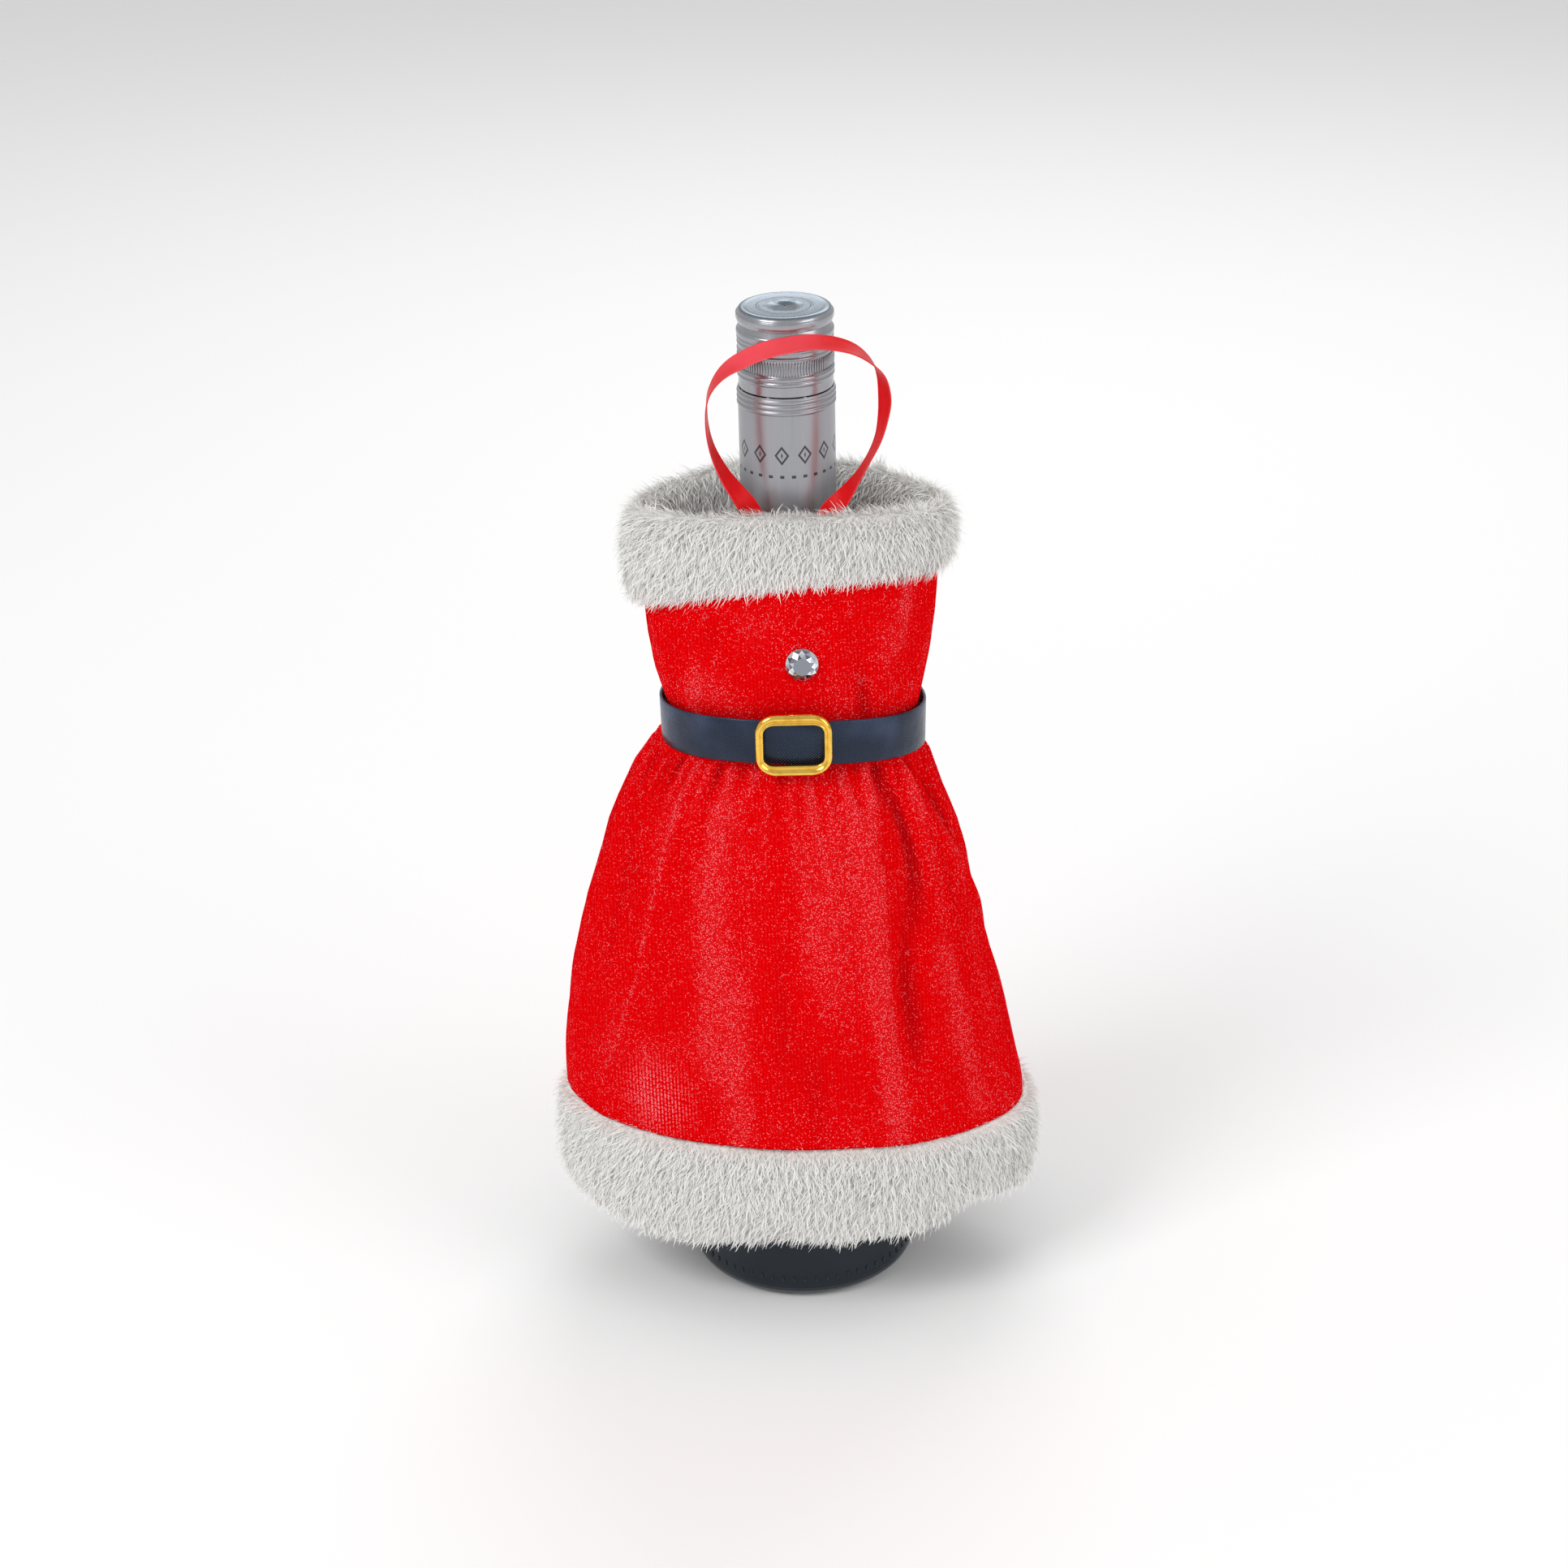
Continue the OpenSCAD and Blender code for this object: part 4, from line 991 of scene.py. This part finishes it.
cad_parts["gem_glue"].data.materials[0] = glue.material

low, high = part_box("gem_stone")
gem_mid = [(low[k] + high[k]) / 2 / MM for k in range(3)]
gem_tilt = math.atan((27.14 - 23.7) / 49.0)
gem_r = 5.0
levels = [(gem_r * 0.97, -0.35, 0), (gem_r, 0.0, 0), (gem_r, 0.5, 0), (gem_r * 0.80, 1.45, 0.5),
          (gem_r * 0.56, 2.25, 0)]
gem_points, gem_faces = [], []
sides = 12
for r, h, shift in levels:
    gem_points += [(r * math.cos(2 * math.pi * (k + shift) / sides), h, r * math.sin(2 * math.pi * (k + shift) / sides))
                   for k in range(sides)]
for ring in range(len(levels) - 1):
    for k in range(sides):
        a, b = ring * sides + k, ring * sides + (k + 1) % sides
        c, d = a + sides, b + sides
        if levels[ring + 1][2]:
            gem_faces += [(a, c, b), (b, c, d)]
        elif levels[ring][2]:
            gem_faces += [(a, c, d), (a, d, b)]
        else:
            gem_faces.append((a, c, d, b))
top_start = (len(levels) - 1) * sides
gem_faces.append([top_start + k for k in range(sides)][::-1])
gem_faces.append(list(range(sides)))
back_y = gem_mid[1] + 1.35
placed = []
for px, h, pz in gem_points:
    py, qz = (-h * math.cos(gem_tilt) + pz * math.sin(gem_tilt),
              pz * math.cos(gem_tilt) + h * math.sin(gem_tilt))
    placed.append(((gem_mid[0] + px) * MM, (back_y + py) * MM, (gem_mid[2] - 0.1 + qz) * MM))
gem = new_piece("gem_cut_stone", placed, gem_faces, stone.material, smooth=False)
painted_facet_greys = gem.data.attributes.new("facet", "FLOAT", "FACE")
# One painted grey per facet, and a darker painted grey on the table.
for k in range(len(gem.data.polygons)):
    painted_facet_greys.data[k].value = 0.5 + 0.5 * math.sin(k * 2.399 + 1.1)
painted_facet_greys.data[len(gem.data.polygons) - 2].value = 0.22
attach(gem, "dress")
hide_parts("gem_stone")


# ---- Ribbon: one length of 6.5 mm red satin with a fine picot edge, sewn inside the front of the collar
# and standing in a loop against the cap. It folds forward over the collar.

satin = Finish("red_satin", Roughness=0.36, Specular_IOR_Level=0.2)
uv = satin.node("ShaderNodeUVMap", {"uv_map": "ribbon"})
u, v, _ = satin.split(uv)
weft = satin.math("SINE", u * (2 * math.pi / (0.22 * MM)))
edge = satin.smooth(satin.math("ABSOLUTE", v), 2.75 * MM, 3.05 * MM)
at = satin.place()
x, y, z = satin.split(at)
soft = satin.noise(at, 120, 2)
tone = satin.mix(soft, (0.62, 0.0003, 0.002, 1), (0.80, 0.002, 0.006, 1))
# Painted highlight: the upper part of the loop, towards its left, is painted a lighter pink where satin would catch the
# light.
satin_painted_highlight = satin.smooth(z, 309 * MM, 319 * MM) * (1 - satin.smooth(x, 2 * MM, 20 * MM)) * (0.4 + soft * 0.6)
tone = satin.mix(satin_painted_highlight, tone, (0.88, 0.085, 0.11, 1))
picots = satin.smooth(satin.math("SINE", u * (2 * math.pi / (0.62 * MM))), 0.0, 0.7) * edge
satin.feed("Base Color", satin.mix(picots * 0.6, tone, (0.93, 0.16, 0.19, 1)))
satin.bump(weft * 0.5 + edge, 0.00005, 0.5)

low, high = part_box("ribbon_loop")
crease_z = low[2] / MM
crease_y = -17.8
loop = [(-9.0, 256), (-9.3, 262), (-10.4, 268), (-12.4, 272.6), (-15.2, 277.0), (-19, 282.9), (-22.4, 290.7),
        (-23.9, 298.4), (-23.7, 306), (-21.8, 311.1), (-18.3, 315.3), (-13.4, 318.4), (-6.7, 321.3), (0.6, 322.9),
        (7.8, 323.7), (14.9, 323), (20.9, 320.9), (25.6, 317), (28.3, 312.5), (29.2, 306.1), (28.6, 299.8),
        (27.1, 293.4), (24.2, 287.1), (20.4, 280.7), (16.0, 274.6), (12.6, 270.4), (10.6, 266), (9.4, 261), (9.0, 256)]
turns = [-88, -86, -82, -68, -44, -26, -12, -5, 0, 8, 22, 36, 38, 34, 29, 23, 12, -5, -26, -36, -26, -14, -7, -14,
         -42, -66, -82, -86, -88]


def through(values, t):
    """A smooth curve through evenly numbered values."""
    k = min(int(t), len(values) - 2)
    f = t - k
    p0, p1, p2 = values[max(k - 1, 0)], values[k], values[k + 1]
    p3 = values[min(k + 2, len(values) - 1)]
    return 0.5 * (2 * p1 + (p2 - p0) * f + (2 * p0 - 5 * p1 + 4 * p2 - p3) * f * f
                  + (3 * p1 - p0 - 3 * p2 + p3) * f ** 3)


xs, zs = [p[0] for p in loop], [p[1] for p in loop]
steps = 12 * (len(loop) - 1)
middles, twists = [], []
for k in range(steps + 1):
    t = k / 12
    z = through(zs, t)
    y = crease_y + (0.012 * (z - crease_z) if z > crease_z else 1.1 * min(1, (crease_z - z) / 5))
    middles.append(Vector((through(xs, t), y, z)))
    twists.append(math.radians(through(turns, t)))
half_w, half_t = 3.1, 0.16
cross = [(-1.0, 0.0), (-0.985, 1.0), (-0.9, 1.35), (-0.82, 1.0), (-0.4, 1.0), (0, 1.0), (0.4, 1.0), (0.82, 1.0),
         (0.9, 1.35), (0.985, 1.0), (1.0, 0.0), (0.985, -1.0), (0.9, -1.35), (0.82, -1.0), (0.4, -1.0), (0, -1.0),
         (-0.4, -1.0), (-0.82, -1.0), (-0.9, -1.35), (-0.985, -1.0)]
points, uvs, run = [], [], 0.0
for k, p in enumerate(middles):
    ahead = middles[min(k + 1, steps)] - middles[max(k - 1, 0)]
    ahead.normalize()
    run += (p - middles[k - 1]).length if k else 0
    out = Vector((-ahead.z, 0, ahead.x))
    face = out * math.cos(twists[k]) + Vector((0, -1, 0)) * math.sin(twists[k])
    across = ahead.cross(face).normalized()
    face = across.cross(ahead).normalized()
    picot = 1 + 0.012 * (k % 2)
    for s, h in cross:
        points.append(tuple((p + across * (s * half_w * picot) + face * (h * half_t)) * MM))
        uvs.append((run * MM, s * half_w * MM))
n = len(cross)
faces = [tuple(reversed(f)) for f in grid_faces(len(middles), n, closed_cols=True)]
faces += [list(range(n)), [steps * n + k for k in range(n - 1, -1, -1)]]
ribbon = new_piece("ribbon_satin", points, faces, satin.material)
layer = ribbon.data.uv_layers.new(name="ribbon")
for corner_loop in ribbon.data.loops:
    layer.data[corner_loop.index].uv = uvs[corner_loop.vertex_index]
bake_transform(ribbon)
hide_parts("ribbon_loop", "ribbon_tails")
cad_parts["ribbon_tacks"].data.materials[0] = thread_finish.material


# ---- Lint: loose pale fibres from the plush that cling to the velvet.

lint_finish = Finish("lint", Roughness=0.8)
tint = lint_finish.node("ShaderNodeAttribute", {"attribute_name": "shade"}, out=2)
lint_finish.feed("Base Color", lint_finish.mix(tint, (0.9, 0.16, 0.20, 1), (1.0, 0.55, 0.60, 1)))
rng = np.random.default_rng(7)
lint_points, lint_faces = [], []


def fibre(turn_deg, z, length, lead, bow):
    """A thin bent fibre lying on the cloth."""
    shape = skirt_shape if z < waist_z else bodice_shape
    steps, r = 5, 0.032
    start = len(lint_points)
    scale = 57.3 / max(25.0, 45 + (190 - z) * 0.2)
    path = []
    for k in range(steps + 1):
        f = k / steps - 0.5
        angle = lead + bow * f
        path.append((turn_deg + length * f * math.cos(angle) * scale, z + length * f * math.sin(angle)))
    spots = [Vector(dress_point(math.radians(t), h, shape(t, h) + 0.10)) for t, h in path]
    for k, p in enumerate(spots):
        ahead = (spots[min(k + 1, steps)] - spots[max(k - 1, 0)]).normalized()
        out = Vector((p.x, p.y * 2.2, 0)).normalized()
        side = ahead.cross(out).normalized()
        for c in range(3):
            a = 2 * math.pi * c / 3
            lint_points.append(tuple((p + (side * math.cos(a) + out * math.sin(a)) * r) * MM))
    for k in range(steps):
        for c in range(3):
            a, b = start + k * 3 + c, start + k * 3 + (c + 1) % 3
            lint_faces.append((a, b, b + 3, a + 3))
    lint_faces.append((start + 2, start + 1, start))
    lint_faces.append((start + steps * 3, start + steps * 3 + 1, start + steps * 3 + 2))


for k in range(320):
    if rng.random() < 0.72:
        t, z = rng.uniform(-95, 265), rng.uniform(70, 184)
    else:
        t, z = rng.uniform(-95, 265), rng.uniform(209, 238)
    fibre(t, z, rng.uniform(1.2, 4.2), rng.uniform(0, math.pi), rng.uniform(-2.2, 2.2))
for k in range(90):
    f = rng.uniform(0, 1)
    z = 180 - f * 104
    t = np.interp(z, [76, 90, 114, 141, 165, 186], [-57.5, -52, -47, -45.5, -44, -45])
    fibre(t + rng.normal(0, 0.35), z, rng.uniform(0.8, 2.2), rng.uniform(0, math.pi), rng.uniform(-2, 2))
lint = new_piece("velvet_lint", lint_points, lint_faces, lint_finish.material)
lint.data.attributes.new("shade", "FLOAT", "POINT").data.foreach_set(
    "value", np.repeat(rng.uniform(0, 1, len(lint_points) // 18), 18))
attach(lint, "dress")
